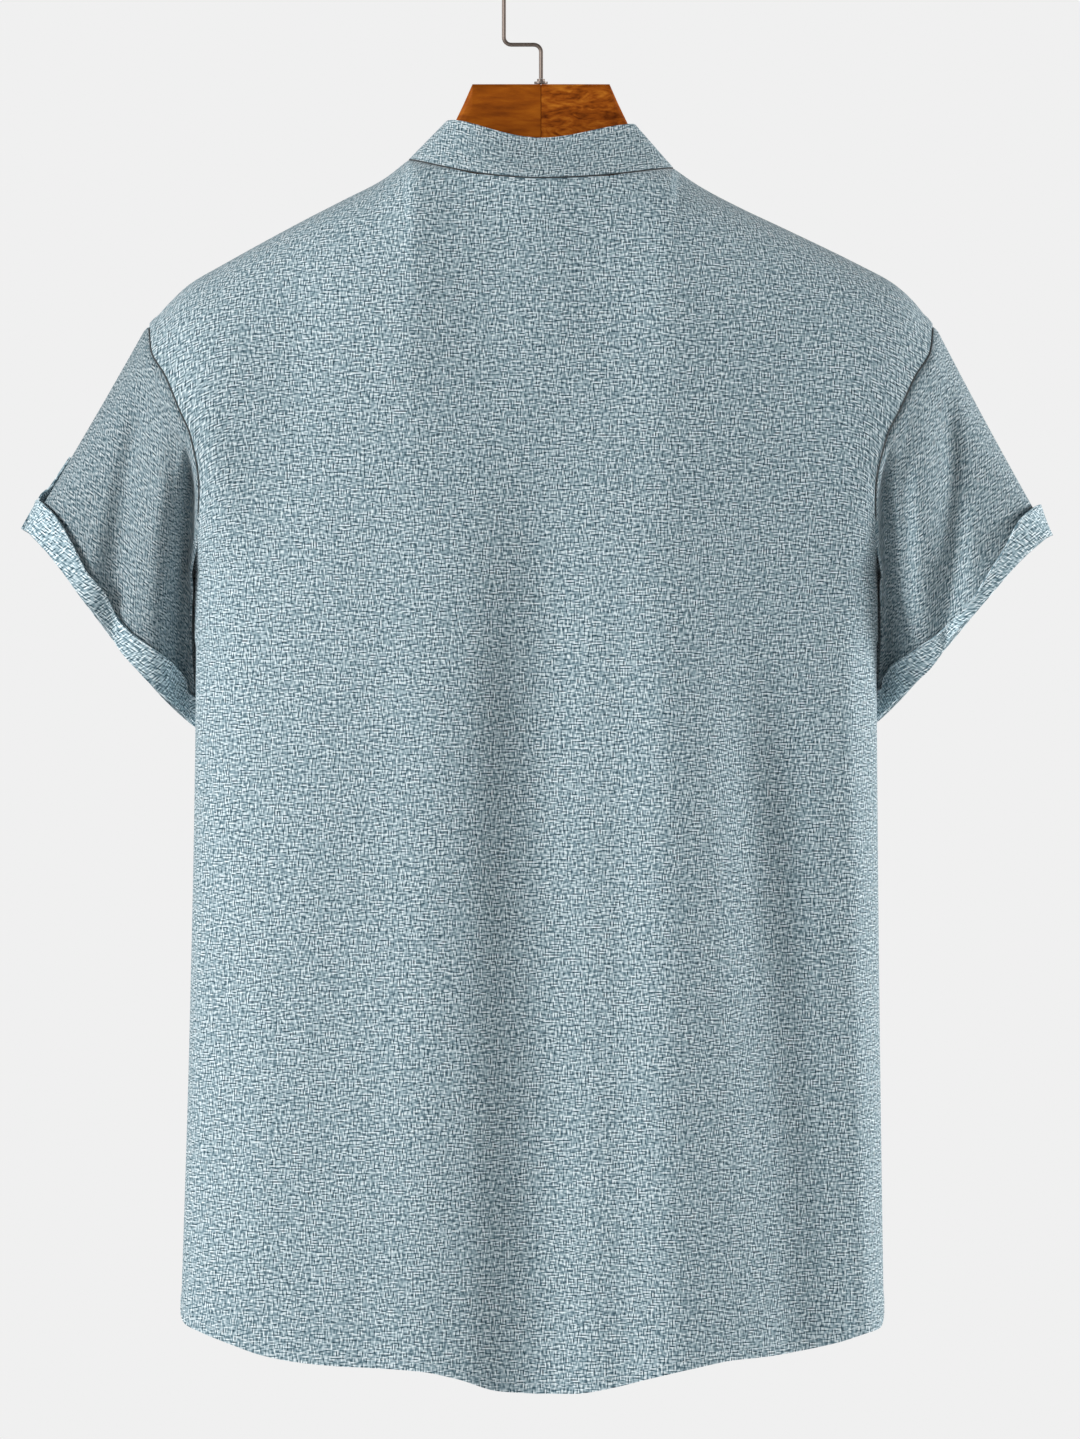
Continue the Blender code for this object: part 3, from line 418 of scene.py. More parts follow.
def top_edge(share, face):
    """Neckline and shoulder seam of a panel, from the centre outwards."""
    side = sign_of(share)
    share = abs(share)
    if share <= NECK_SHARE:
        part = share / NECK_SHARE
        turn = 0.5 * (math.asin(min(part, 1.0)) + part * math.pi / 2)
        return neck_point(side * turn, face)
    part = (share - NECK_SHARE) / (1 - NECK_SHARE)
    reach = mix(NECK_HALF_WIDTH, SHOULDER_REACH, part)
    return np.array([side * reach, shoulder_y(reach), SHOULDER_OF[side](reach)])


UNDERARM_REACH = {side: abs(body_section(UNDERARM_Z, side, 1)[0]) for side in (1, -1)}
UNDERARM_EDGE = {
    (side, face): body_section(UNDERARM_Z, side, face) for side in (1, -1) for face in (1, -1)
}
TIP = {side: top_edge(side, 1) for side in (1, -1)}


def armhole_point(drop, side, face):
    """Armhole seam; drop runs 0 at the shoulder's tip to 1 at the underarm."""
    height = mix(ARMHOLE["height"][0], UNDERARM_Z, drop)
    reach = ARMHOLE_OF(height) + (UNDERARM_REACH[side] - ARMHOLE["reach"][-1]) * ease(drop)
    oval = max(math.sin(math.pi * drop), 0.0) ** ARMHOLE_ROUNDNESS
    y = mix(shoulder_y(SHOULDER_REACH), 0.0, drop) + face * ARMHOLE_DEPTH * oval
    return np.array([side * reach, y, height])


def over_arm(drop):
    """Share of the way from shoulder to underarm that the cloth has fallen at a drop."""
    return (1 - (1 - drop) ** DRAPE_POWER) ** DRAPE_ROUNDING


def armhole_drape(drop):
    """How far the drape of the body carries the armhole seam to the back."""
    return (drop - over_arm(drop)) * shoulder_y(SHOULDER_REACH)


def hump(rise, away):
    """Round rise of a fold; away is 0 on its line and 1 at its edges."""
    return rise * (1 + math.cos(math.pi * away)) / 2


def crease(rise, away, along):
    """Rise of a crease; away counts half widths from its line, along runs 0 to 1."""
    if not 0 < along < 1 or away >= CREASE_REACH:
        return 0.0
    return rise * math.exp(-away * away) * math.sin(math.pi * along) ** CREASE_ENDS


def fold_rise(x, height, face):
    """Large folds of the body, and the small listed creases."""
    total = 0.0
    for x_top, x_hem, start, half_width, rise in FOLDS[face]:
        drop = (start - height) / (start - BODY["height"][-1])
        away = abs(x - mix(x_top, x_hem, max(drop, 0.0))) / half_width
        if away < 1:
            total += hump(rise, away) * ease(drop * FOLD_GROWTH)
    for x_start, z_start, x_end, z_end, half_width, rise in CREASES[face]:
        along = (x - x_start) * (x_end - x_start) + (height - z_start) * (z_end - z_start)
        along /= (x_end - x_start) ** 2 + (z_end - z_start) ** 2
        away = math.hypot(x - mix(x_start, x_end, along), height - mix(z_start, z_end, along))
        total += crease(rise, away / half_width, along)
    return total


def rumple(u, v):
    """Faint unevenness of hanging cloth, from a few slow waves."""
    return RUMPLE * sum(
        share * math.sin(a * u + b * v + c) * math.sin(d * u + e * v + f)
        for share, a, b, c, d, e, f in RUMPLE_WAVES
    )


def yoke_point(share, drop, face):
    """Point between the top edge and the underarm level; drop runs 0 to 1."""
    side = sign_of(share)
    above = top_edge(share, face)
    below = body_section(UNDERARM_Z, share, face)
    past_neck = ease((abs(share) - DRAPE_START_SHARES[face]) / DRAPE_BLEND_SHARE)
    turned = mix(1 - (1 - drop) ** 2, over_arm(drop), past_neck)
    point = mix(above, below, drop)
    point[1] = mix(above[1], below[1], turned)
    edge = mix(TIP[side], UNDERARM_EDGE[side, face], drop)
    weight = max(0.0, (abs(share) - ARMHOLE_BLEND) / (1 - ARMHOLE_BLEND)) ** ARMHOLE_BLEND_POWER
    return point + (armhole_point(drop, side, face) - edge) * weight


def hem_height(share, face):
    """Height of the hem along the half panel."""
    if face > 0:
        return HEM_OF[sign_of(share)](abs(share))
    inner, outer = FRONT_HEM_POWERS
    return mix(SIDE_SEAM_Z, FRONT_HEM_Z, (1 - abs(share) ** inner) ** outer)


def body_point(share, row, face):
    """Middle surface of the body; row runs 0 at the top, 1 at the underarm, 2 at the hem."""
    if row <= 1:
        point = yoke_point(share, row, face)
    else:
        height = mix(UNDERARM_Z, hem_height(share, face), row - 1)
        point = body_section(height, share, face)
    flat_part = ease((1 - abs(share)) * SEAM_CALM) * ease(row * TOP_CALM)
    lift = fold_rise(point[0], point[2], face) + rumple(share * HALF_PANEL, point[2])
    point[1] += face * lift * flat_part
    return point


# ---- shells
def grid_normals(points, ring=False):
    """Normals of a grid of points; a ring joins its last column to its first."""
    if ring:
        across = np.roll(points, -1, axis=1) - np.roll(points, 1, axis=1)
    else:
        across = np.gradient(points, axis=1)
    return unit(np.cross(across, np.gradient(points, axis=0)))


def run_lengths(points, axis):
    """Distance along the grid's rows or columns, measured in the cloth."""
    steps = np.linalg.norm(np.diff(points, axis=axis), axis=-1)
    start = np.zeros_like(np.take(steps, [0], axis=axis))
    return np.concatenate([start, np.cumsum(steps, axis=axis)], axis=axis)


def flat_grain(points, upright, start_row):
    """Grain map of a panel: threads run upright and level, in metres round the cloth.

    Steps along a row leave out their upright part, and steps along a column their level part.
    """
    upright = unit(np.asarray(upright, float))
    level = unit(np.cross(upright, [0.0, 1.0, 0.0]))
    over = np.diff(points, axis=1)
    down = np.diff(points, axis=0)
    way = np.sign(np.einsum("ijk,k->ij", over, level).sum()) or 1.0
    across = np.hypot(np.einsum("ijk,k->ij", over, level), over[..., 1]) * way
    along = np.hypot(np.einsum("ijk,k->ij", down, upright), down[..., 1])
    u = np.concatenate([np.zeros((len(points), 1)), np.cumsum(across, axis=1)], axis=1)
    v = np.concatenate([np.zeros((1, points.shape[1])), -np.cumsum(along, axis=0)], axis=0)
    middle = points.shape[1] // 2
    u += (points[:, middle] @ level - u[:, middle])[:, None]
    v += points[start_row] @ upright - v[start_row]
    return np.stack([u, v], axis=-1)


def add_object(name, data):
    """New object in the scene."""
    made = bpy.data.objects.new(name, data)
    bpy.context.scene.collection.objects.link(made)
    return made


def add_piece(name, vertices, faces, material, sharp=HARD_SHARP, grain=None):
    """Mesh that rides with the shirt; grain is the map of its faces' corners in metres."""
    mesh = bpy.data.meshes.new(name)
    mesh.from_pydata(vertices, [], faces)
    if grain is not None:
        mesh.uv_layers.new(name="grain").data.foreach_set("uv", grain.reshape(-1))
    mesh.materials.append(material)
    mesh.shade_smooth()
    mesh.set_sharp_from_angle(angle=math.radians(sharp))
    piece = add_object(name, mesh)
    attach(piece, "root")
    return piece


def shell(name, points, material, thickness=CLOTH, ring=False, lift=0.0, grain=None, edge_step=0.0):
    """Closed cloth shell on a grid of rows and columns, with its grain map in metres."""
    points = np.asarray(points, float)
    normals = grid_normals(points, ring)
    middle = points + normals * lift
    outer = middle + normals * (thickness / 2 + np.asarray(edge_step)[..., None])
    inner = middle - normals * thickness / 2
    if grain is None:
        across = run_lengths(points, 1)
        across = across - across[:, [across.shape[1] // 2]]
        grain = np.stack([across, -run_lengths(points, 0)], axis=-1)
    rows, count = points.shape[:2]
    offset = rows * count
    wide = count if ring else count - 1
    row, column = (places.ravel() for places in np.indices((rows - 1, wide)))
    base = row * count + column
    nearby = row * count + (column + 1) % count
    flipped = [0, 3, 2, 1]
    faces = np.stack([base, base + count, nearby + count, nearby], 1)
    quads = [faces, faces[:, flipped] + offset]
    corners = [(row, column), (row + 1, column), (row + 1, column + 1), (row, column + 1)]
    loops = np.stack([grain[place] for place in corners], 1)
    maps = [loops, loops[:, flipped]]
    top = np.arange(wide)
    beside = (top + 1) % count
    last = (rows - 1) * count
    rims = [
        (top, beside, grain[0, top], (0.0, -CLOTH)),
        (last + beside, last + top, grain[-1, top], (0.0, -CLOTH)),
    ]
    if not ring:
        down = np.arange(rows - 1) * count
        far = down + count - 1
        rims.append((down + count, down, grain[:-1, 0], (CLOTH, 0.0)))
        rims.append((far, far + count, grain[:-1, -1], (CLOTH, 0.0)))
    for first, second, start, over_rim in rims:
        quads.append(np.stack([first, second, second + offset, first + offset], 1))
        maps.append(start[:, None] + np.outer((0, 0, 1, 1), over_rim)[None])
    vertices = np.concatenate([outer.reshape(-1, 3), inner.reshape(-1, 3)])
    faces = np.concatenate(quads)
    a, b, c, d = (vertices[faces[:, i]] for i in range(4))
    volume = np.einsum("ij,ij->", a, np.cross(b, c)) + np.einsum("ij,ij->", a, np.cross(c, d))
    loops = np.concatenate(maps)
    if volume < 0:
        faces = faces[:, ::-1]
        loops = loops[:, ::-1]
    piece = add_piece(name, vertices.tolist(), faces.tolist(), material, CLOTH_SHARP, loops)
    return piece, outer, normals


# ---- materials
THREADS = 1230.0  # threads a metre, both ways
THREAD_RUN = 250.0  # changes of tone a metre along a thread
THREAD_SPREAD = 7.37  # how far apart in the noise two threads beside each other are read
THREAD_OFFSET = 0.8  # how far a thread goes against the one beside it
THREAD_SEEDS = (3.1, 8.7)  # place in the noise of the threads of each way
THREAD_CONTRAST = 0.95
THREAD_MIDDLE = 0.460
WEAVE_BUMP = {"Strength": 0.30, "Distance": 0.0003}
WEAVE_FINISH = {
    "Roughness": 0.88, "Sheen Weight": 0.15, "Sheen Roughness": 0.5, "Specular IOR Level": 0.20,
}
WEAVE_TONES = [
    # place on the ramp, red, green, blue
    (0.00, 0.018, 0.050, 0.072),
    (0.25, 0.102, 0.175, 0.213),
    (0.50, 0.333, 0.448, 0.500),
    (0.85, 0.840, 0.930, 0.960),
]
WOOD_STOPS = (0.36, 0.54, 0.72)  # places of the dark, middle and light tone
WOOD_FIBRE = {"Scale": 1.0, "Detail": 6.0, "Roughness": 0.6}
WOOD_RINGS = {"Scale": 0.35, "Detail": 3.0, "Roughness": 0.5}
FIBRE_SHARE = 0.45
RING_SHARE = 0.60
WOOD_BUMP = {"Strength": 0.15, "Distance": 0.0004}
WOOD_FINISH = {"Roughness": 0.55, "Specular IOR Level": 0.06}


def new_material(name):
    """Empty Principled material and its node tree."""
    material = bpy.data.materials.new(name)
    material.use_nodes = True
    tree = material.node_tree
    return material, tree, tree.nodes["Principled BSDF"]


def set_input(tree, socket, value):
    """Link a socket's value, or set a plain one."""
    if isinstance(value, bpy.types.NodeSocket):
        tree.links.new(value, socket)
    else:
        socket.default_value = value


def node(tree, kind, **values):
    """Add a node and set its named inputs or properties."""
    made = tree.nodes.new(kind)
    for key, value in values.items():
        if key in made.inputs:
            set_input(tree, made.inputs[key], value)
        else:
            setattr(made, key, value)
    return made


def math_node(tree, operation, first, second=0.0):
    """Math node on two values or sockets."""
    made = node(tree, "ShaderNodeMath", operation=operation)
    set_input(tree, made.inputs[0], first)
    set_input(tree, made.inputs[1], second)
    return made.outputs[0]


def map_range(tree, value, low, high, **values):
    """Spread a value between two levels."""
    values.update({"To Min": low, "To Max": high})
    return node(tree, "ShaderNodeMapRange", Value=value, **values).outputs["Result"]


def colour_ramp(tree, tone, stops, depth=1.0):
    """Colour for a tone; each stop is a place, red, green and blue, and depth scales the colours."""
    ramp = node(tree, "ShaderNodeValToRGB", Fac=tone)
    elements = ramp.color_ramp.elements
    for place, *colour in stops[1:-1]:
        elements.new(place)
    for element, (place, *colour) in zip(elements, stops):
        element.position = place
        element.color = (*(value * depth for value in colour), 1.0)
    return ramp.outputs["Color"]


def finish_surface(tree, shader, finish, colour, height=None, bump=None):
    """Set a shader's finish, its colour and the bump of its surface."""
    for key, value in finish.items():
        set_input(tree, shader.inputs[key], value)
    tree.links.new(colour, shader.inputs["Base Color"])
    if bump:
        raised = node(tree, "ShaderNodeBump", Height=height, **bump)
        tree.links.new(raised.outputs["Normal"], shader.inputs["Normal"])


def thread_tone(tree, across, along, step, offset):
    """Tone of the thread that lies `step` threads away, with its own runs along it."""
    place = math_node(tree, "ADD", math_node(tree, "MULTIPLY", across, THREADS), step)
    thread = math_node(tree, "MULTIPLY", math_node(tree, "FLOOR", place), THREAD_SPREAD)
    run = math_node(tree, "MULTIPLY", along, THREAD_RUN)
    spot = node(tree, "ShaderNodeCombineXYZ", X=thread, Y=run, Z=offset).outputs[0]
    noise = node(tree, "ShaderNodeTexNoise", noise_dimensions="3D", Scale=1.0, Detail=0.0, Vector=spot)
    return noise.outputs["Fac"]


def weave_material(name, depth=1.0):
    """Grey-blue heathered plain weave: short runs of light and dark thread cross along the grain.

    Each thread is set against its neighbour, so light ones lie beside dark ones.
    """
    material, tree, shader = new_material(name)
    grain = node(tree, "ShaderNodeUVMap", uv_map="grain").outputs["UV"]
    split = node(tree, "ShaderNodeSeparateXYZ", Vector=grain)
    ways = []
    for axis, offset in enumerate(THREAD_SEEDS):
        across, along = split.outputs[axis], split.outputs[1 - axis]
        own = thread_tone(tree, across, along, 0.0, offset)
        beside = thread_tone(tree, across, along, 1.0, offset)
        beside = math_node(tree, "MULTIPLY", beside, THREAD_OFFSET)
        ways.append(math_node(tree, "SUBTRACT", own, beside))
    tone = math_node(tree, "SUBTRACT", math_node(tree, "ADD", *ways), 1.0 - THREAD_OFFSET)
    tone = math_node(tree, "ADD", math_node(tree, "MULTIPLY", tone, THREAD_CONTRAST), THREAD_MIDDLE)
    colour = colour_ramp(tree, tone, WEAVE_TONES, depth)
    finish_surface(tree, shader, WEAVE_FINISH, colour, tone, WEAVE_BUMP)
    return material


def wood_material(name, tones, figure, scale, turn):
    """Stained and varnished wood, with its grain running along the arm."""
    material, tree, shader = new_material(name)
    place = node(tree, "ShaderNodeTexCoord").outputs["Object"]
    mapping = node(tree, "ShaderNodeMapping", Vector=place, Scale=scale, Rotation=(0.0, turn, 0.0))
    grain = mapping.outputs["Vector"]
    fibre = node(tree, "ShaderNodeTexNoise", Vector=grain, **WOOD_FIBRE).outputs["Fac"]
    rings = node(tree, "ShaderNodeTexNoise", Vector=grain, Distortion=figure, **WOOD_RINGS).outputs["Fac"]
    fibre_part = math_node(tree, "MULTIPLY", fibre, FIBRE_SHARE)
    tone = math_node(tree, "ADD", fibre_part, math_node(tree, "MULTIPLY", rings, RING_SHARE))
    colour = colour_ramp(tree, tone, [(stop, *shade) for stop, shade in zip(WOOD_STOPS, tones)])
    finish_surface(tree, shader, WOOD_FINISH, colour, fibre, WOOD_BUMP)
    return material


def speckled_material(name, dark, light, finish, rough=None, **noise):
    """Material that wanders between two colours, and between two roughnesses if they are given."""
    material, tree, shader = new_material(name)
    place = node(tree, "ShaderNodeTexCoord").outputs["Object"]
    tone = node(tree, "ShaderNodeTexNoise", Vector=place, **noise).outputs["Fac"]
    if rough:
        finish = {**finish, "Roughness": map_range(tree, tone, *rough)}
    finish_surface(tree, shader, finish, colour_ramp(tree, tone, [(0.0, *dark), (1.0, *light)]))
    return material


def weave_pair_painted_light_and_shade(name, left, right):
    """Weave of the left and the right piece, its colours scaled down for painted shade or up for painted
    light.
    """
    return {1: weave_material(name + "_left", left), -1: weave_material(name + "_right", right)}


CLOTH_LOOK = weave_material("cloth")
# painted shade: the sleeves' weave is darkened, the left one more than the right, so that they read as
# lying in shade
SLEEVE_SHADED_LOOKS = weave_pair_painted_light_and_shade("sleeve_shaded_cloth", 0.75, 0.92)
# painted light: the cuffs' weave is brightened so that the rolled cuffs read as lit where they turn into
# shade
CUFF_LIT_LOOKS = weave_pair_painted_light_and_shade("cuff_cloth", 1.24, 1.28)
# painted shadow: the weave at a tenth of its brightness, near black, for the cords that stand for the
# shade in the seams
SEAM_SHADOW_LOOK = weave_material("seam_shadow_cloth", 0.10)
THREAD_LOOK = speckled_material(
    "thread", (0.58, 0.68, 0.72), (0.86, 0.92, 0.94), {"Roughness": 0.7}, Scale=1400.0, Detail=2.0)
BUTTON_LOOK = speckled_material(
    "button", (0.20, 0.27, 0.31), (0.40, 0.48, 0.52),
    {"Roughness": 0.42}, Scale=260.0, Detail=4.0, Distortion=1.2)
WIRE_LOOK = speckled_material(
    "wire", (0.13, 0.10, 0.085), (0.27, 0.22, 0.19),
    {"Metallic": 0.7}, rough=(0.40, 0.60), Scale=900.0, Detail=3.0)
WOOD_LEFT = wood_material(
    "wood_left", [(0.16, 0.034, 0.003), (0.33, 0.080, 0.005), (0.48, 0.140, 0.009)],
    figure=0.9, scale=(60.0, 120.0, 260.0), turn=-0.5)
WOOD_RIGHT = wood_material(
    "wood_right", [(0.085, 0.014, 0.001), (0.35, 0.082, 0.006), (0.60, 0.195, 0.018)],
    figure=2.4, scale=(150.0, 200.0, 420.0), turn=0.75)
GLUE_LOOK = wood_material(
    "glue", [(0.05, 0.010, 0.002), (0.10, 0.022, 0.003), (0.16, 0.040, 0.004)],
    figure=0.6, scale=(14.0, 90.0, 160.0), turn=0.35)


# ---- sewing
STITCH_CORNERS = []
STITCH_FACES = []


def read_line(place, run, values):
    """Point or way of a line at a distance along its run."""
    return np.array([np.interp(place, run, values[:, axis]) for axis in range(3)])


def stitch_run(points, normals):
    """Row of small stitches along a line on the cloth; each is a short pinched thread."""
    normals = unit(normals)
    run = run_lengths(points[None], 1)[0]
    start = STITCH_PITCH / 2
    while start + STITCH_LENGTH < run[-1]:
        ends = []
        for place in (start, start + STITCH_LENGTH / 2, start + STITCH_LENGTH):
            ends.append((read_line(place, run, points), unit(read_line(place, run, normals))))
        along = unit(ends[2][0] - ends[0][0])
        base = len(STITCH_CORNERS)
        for (spot, way), height, width in zip(ends, STITCH_HEIGHTS, STITCH_WIDTHS):
            beside = np.cross(along, way)
            centre = spot + way * THREAD * height
            size = THREAD * width
            for out in (beside * size, way * size, -beside * size, -way * size):
                STITCH_CORNERS.append(tuple(centre + out))
        for ring in (base, base + 4):
            for corner in range(4):
                a = ring + corner
                b = ring + (corner + 1) % 4
                STITCH_FACES.append((a, b, b + 4, a + 4))
        STITCH_FACES.append((base + 3, base + 2, base + 1, base))
        STITCH_FACES.append((base + 8, base + 9, base + 10, base + 11))
        start += STITCH_PITCH


def finish_stitches(name):
    """Join the stitches made so far into one piece."""
    piece = add_piece(name, STITCH_CORNERS, STITCH_FACES, THREAD_LOOK)
    STITCH_CORNERS.clear()
    STITCH_FACES.clear()


# ---- the shirt
DETAIL = 1.0
WORDS = {1: "left", -1: "right"}


def steps(start, end, count):
    return list(np.linspace(start, end, max(int(count * DETAIL), 3)))


# rows of a body panel, closer together over the shoulder
YOKE_ROWS = int(64 * DETAIL)
LOWER_ROWS = int(96 * DETAIL)
ROWS = [(step / YOKE_ROWS) ** ROW_CROWDING for step in range(YOKE_ROWS)]
ROWS += [1 + step / LOWER_ROWS for step in range(LOWER_ROWS + 1)]


def panel_grid(shares, face):
    """Grid of a body panel with its normals outwards."""
    grid = np.array([[body_point(share, row, face) for share in shares] for row in ROWS])
    grid[0, :, 1] += face * SHOULDER_TRIM
    return grid if face > 0 else grid[:, ::-1]


def hem_band(points):
    """Extra thickness of the turned and stitched hem along the last rows."""
    run = run_lengths(points, 0)
    above = run[-1][None] - run
    return HEM_STEP * (1 - ease((above - HEM_ALLOWANCE * HEM_STEP_START) / HEM_STEP_RUN))


def armhole_welt(points):
    """Raised edge of the body's panels beside the sleeves."""
    run = run_lengths(points, 1)
    edge = np.minimum(run, run[:, [-1]] - run)
    beside = np.array(ROWS)[:, None] < WELT_LAST_ROW
    return WELT_STEP * (1 - ease((edge - WELT_WIDTH) / WELT_FADE)) * beside


def line_above_edge(surface, normals, distance):
    """Line on the surface at a distance above its last row, and its ways out."""
    run = run_lengths(surface, 0)
    places = list(enumerate(run[-1] - distance))
    return [
        np.array([read_line(place, run[:, column], values[:, column]) for column, place in places])
        for values in (surface, normals)
    ]


def tube_faces(rings, sides):
    """Faces of a closed tube whose rings of points follow one another."""
    total = rings * sides
    faces = [tuple(range(sides)), tuple(range(total - 1, total - sides - 1, -1))]
    for start in range(0, total - sides, sides):
        for corner in range(sides):
            a, b = start + corner, start + (corner + 1) % sides
            faces.append((a, a + sides, b + sides, b))
    return faces


def tube(name, route, radius, material):
    """Thin round piece along a route."""
    along = unit(np.gradient(route, axis=0))
    first = unit(np.cross(along, TUBE_ASIDE))
    second = np.cross(along, first)
    turns = np.linspace(0, 2 * math.pi, TUBE_SIDES, endpoint=False)
    rings = [route + (first * math.cos(t) + second * math.sin(t)) * radius for t in turns]
    vertices = np.stack(rings, axis=1).reshape(-1, 3).tolist()
    return add_piece(name, vertices, tube_faces(len(route), TUBE_SIDES), material)


def armhole_shadow_lines(name, surface, normals):
    """Painted shadow line of the armhole seam: a near-black cord lying against the edge of a body panel.
    """
    rows = slice(SEAM_SHADOW_START, YOKE_ROWS)
    for column in (0, -1):
        edge = surface[rows, column]
        side = 1 if edge[0, 0] > 0 else -1
        if abs(edge[0, 0]) > NECK_HALF_WIDTH:  # leaves out the edges at the placket
            route = edge + normals[rows, column] * SEAM_SHADOW_RAISE
            route = route + np.array([side * SEAM_SHADOW_OUT, 0.0, 0.0])
            piece = tube(f"{name}_seam_shadow_{WORDS[side]}", route, SEAM_SHADOW_RADIUS, SEAM_SHADOW_LOOK)


def panel(name, shares, face):
    """One body panel as a shell with its hem."""
    grid = panel_grid(shares, face)
    grain = flat_grain(grid, (0, 0, 1), YOKE_ROWS)
    step = hem_band(grid) + armhole_welt(grid)
    piece, surface, normals = shell(name + "_cloth", grid, CLOTH_LOOK, grain=grain, edge_step=step)
    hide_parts(name)
    armhole_shadow_lines(name, surface, normals)
    stitch_run(*line_above_edge(surface, normals, HEM_ALLOWANCE))


def make_body():
    """Back, fronts and placket."""
    half = PLACKET_HALF_WIDTH / HALF_PANEL
    underlap = UNDERLAP / HALF_PANEL
    gap = SEAM_GAP * 2 / HALF_PANEL
    panel("back", steps(-1 + SIDE_TRIM, 1 - SIDE_TRIM, 191), 1)
    panel("front_left", [underlap + gap] + steps(half, 1 - SIDE_TRIM, 92), -1)
    panel("front_right", steps(-1 + SIDE_TRIM, -half, 92) + [0.0, underlap], -1)
    grid = panel_grid([-half, -half * 0.97, -half * 0.5, 0.0, underlap, half * 0.97, half], -1)
    piece, surface, normals = shell("placket_cloth", grid, CLOTH_LOOK, lift=CLOTH + SEAM_GAP)
    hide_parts("placket")
    for share in PLACKET_STITCHES:
        line = mix(surface[:, 0], surface[:, -1], share)
        column = int(round(share * (surface.shape[1] - 1)))
        stitch_run(line[2:-2], normals[2:-2, column])
    finish_stitches("body_stitches")


def neck_ring(turn):
    """Neck seam all round; turn runs 0 at the centre back to a half turn at the centre front."""
    if abs(turn) <= math.pi / 2:
        return neck_point(turn, 1)
    return neck_point(math.copysign(math.pi - abs(turn), turn), -1)


def collar_stand(turn):
    """Way and height of the collar at a place on the neck seam, square to the seam."""
    base = neck_ring(turn)
    inward = unit(np.array([-base[0], NECK_CENTRE_Y - base[1], 0.0]))
    lean = LEAN_OF(math.degrees(turn))
    rise = RISE_OF(math.degrees(turn))
    stand = inward * lean + np.array([0.0, 0.0, rise])
    seam = unit(neck_ring(turn + 0.02) - neck_ring(turn - 0.02))
    return unit(stand - seam * np.dot(stand, seam)), math.hypot(lean, rise)


def make_collar():
    """Band collar with its two topstitched edges."""
    end = math.pi - COLLAR_END_GAP / 2 / abs(NECK_Y[-1])
    start = SEAM_GAP + CLOTH
    turns = steps(-end, end, 200)
    stands = [collar_stand(turn) for turn in turns]
    grid = [
        [neck_ring(turn) + way * mix(start, height, share)
         for turn, (way, height) in zip(turns, stands)]
        for share in steps(1, 0, 22)
    ]
    piece, surface, normals = shell("collar_band_cloth", grid, CLOTH_LOOK)
    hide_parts("collar_band")
    for distance in COLLAR_STITCHES:
        stitch_run(*line_above_edge(surface, normals, distance))
    finish_stitches("collar_stitches")
    # painted shadow: a near-black cord just inside the collar's lower edge stands for the shade in the
    # neck seam
    route = surface[-1] - normals[-1] * SEAM_SHADOW_RADIUS
    seam = tube("collar_seam_shadow", route, SEAM_SHADOW_RADIUS, SEAM_SHADOW_LOOK)


def sleeve_fold(turn, length, side):
    """Rise of the sleeve's folds and creases at a turn in degrees round it."""
    total = 0.0
    for first, last, half_turn, rise, growth in SLEEVE_FOLDS[side] + SLEEVE_FRONT_FOLDS:
        away = abs(turn - mix(first, last, length)) / half_turn
        if away < 1:
            total += hump(rise, away) * ease(length * growth)
    for turn_start, start, turn_end, end, half_turn, rise in SLEEVE_CREASES:
        along = (length - start) / (end - start)
        away = abs(turn - mix(turn_start, turn_end, along)) / half_turn
        total += crease(rise, away, along)
    return total


def body_reach(height, depth_y, side):
    """Distance from the middle plane to the body's side at a height and depth."""
    face = 1 if depth_y > 0 else -1
    roundness = ROUNDNESS[face]
    across = (1 - min(abs(depth_y) / DEPTH_OF[face](height), 1.0) ** roundness) ** (1 / roundness)
    return abs(SIDE_OF[side](height) - CENTRE_X) * across + side * CENTRE_X


def least_reach(point, length, side):
    """Distance from the middle plane at which the sleeve just clears the body."""
    first, last = CLEARANCE_SHARES
    clearance = mix(BODY_CLEARANCE, CUFF_CLEARANCE, ease((length - first) / (last - first)))
    beside_armhole = ease((point[2] - UNDERARM_Z) / ARMHOLE_CLEARANCE_FADE + 1)
    clearance += ARMHOLE_CLEARANCE * beside_armhole * ease(length / ARMHOLE_CLEARANCE_SHARE)
    return body_reach(point[2], point[1], side) + clearance


def sleeve_point(turn, length, side):
    """Point of the sleeve; turn runs from the outer edge over the back, length to the opening."""
    outer_x, outer_z, inner_x, inner_z, sag, swing = OPENINGS[side]
    across = math.cos(turn)
    over = math.sin(turn)
    face = 1 if over >= 0 else -1
    drop = math.acos(max(-1.0, min(across, 1.0))) / math.pi
    start = armhole_point(drop, side, face)
    start[0] = abs(start[0]) + SLEEVE_START
    start[1] += armhole_drape(drop)
    inner_share = ((1 - across) / 2) ** INNER_SHARE_POWER
    end = mix(np.array([inner_x, 0.0, inner_z]), np.array([outer_x, 0.0, outer_z]), (1 + across) / 2)
    end[1] = OPENING_HALF_DEPTH * over
    along = unit(np.array([outer_z - inner_z, 0.0, inner_x - outer_x]))
    hang = sag * over ** 2 - 2 * swing * abs(over) * across
    if face < 0:
        hang += FRONT_DIP * abs(over)
    end += along * hang
    point = mix(start, end, length)
    point[0] = mix(start[0], end[0], mix(length, length ** 2, inner_share))
    point[0] -= SLEEVE_TAKE_IN * math.sin(math.pi * length) * max(across, 0)
    point[1] -= mix(OUTER_FORWARD, INNER_FORWARD, inner_share) * (1 - (1 - length) ** 2)
    point[1] += over * sleeve_fold(math.degrees(turn) % 360, length, side)
    if across < 0:
        point[0] = max(point[0], least_reach(point, length, side))
    return point * np.array([side, 1, 1])


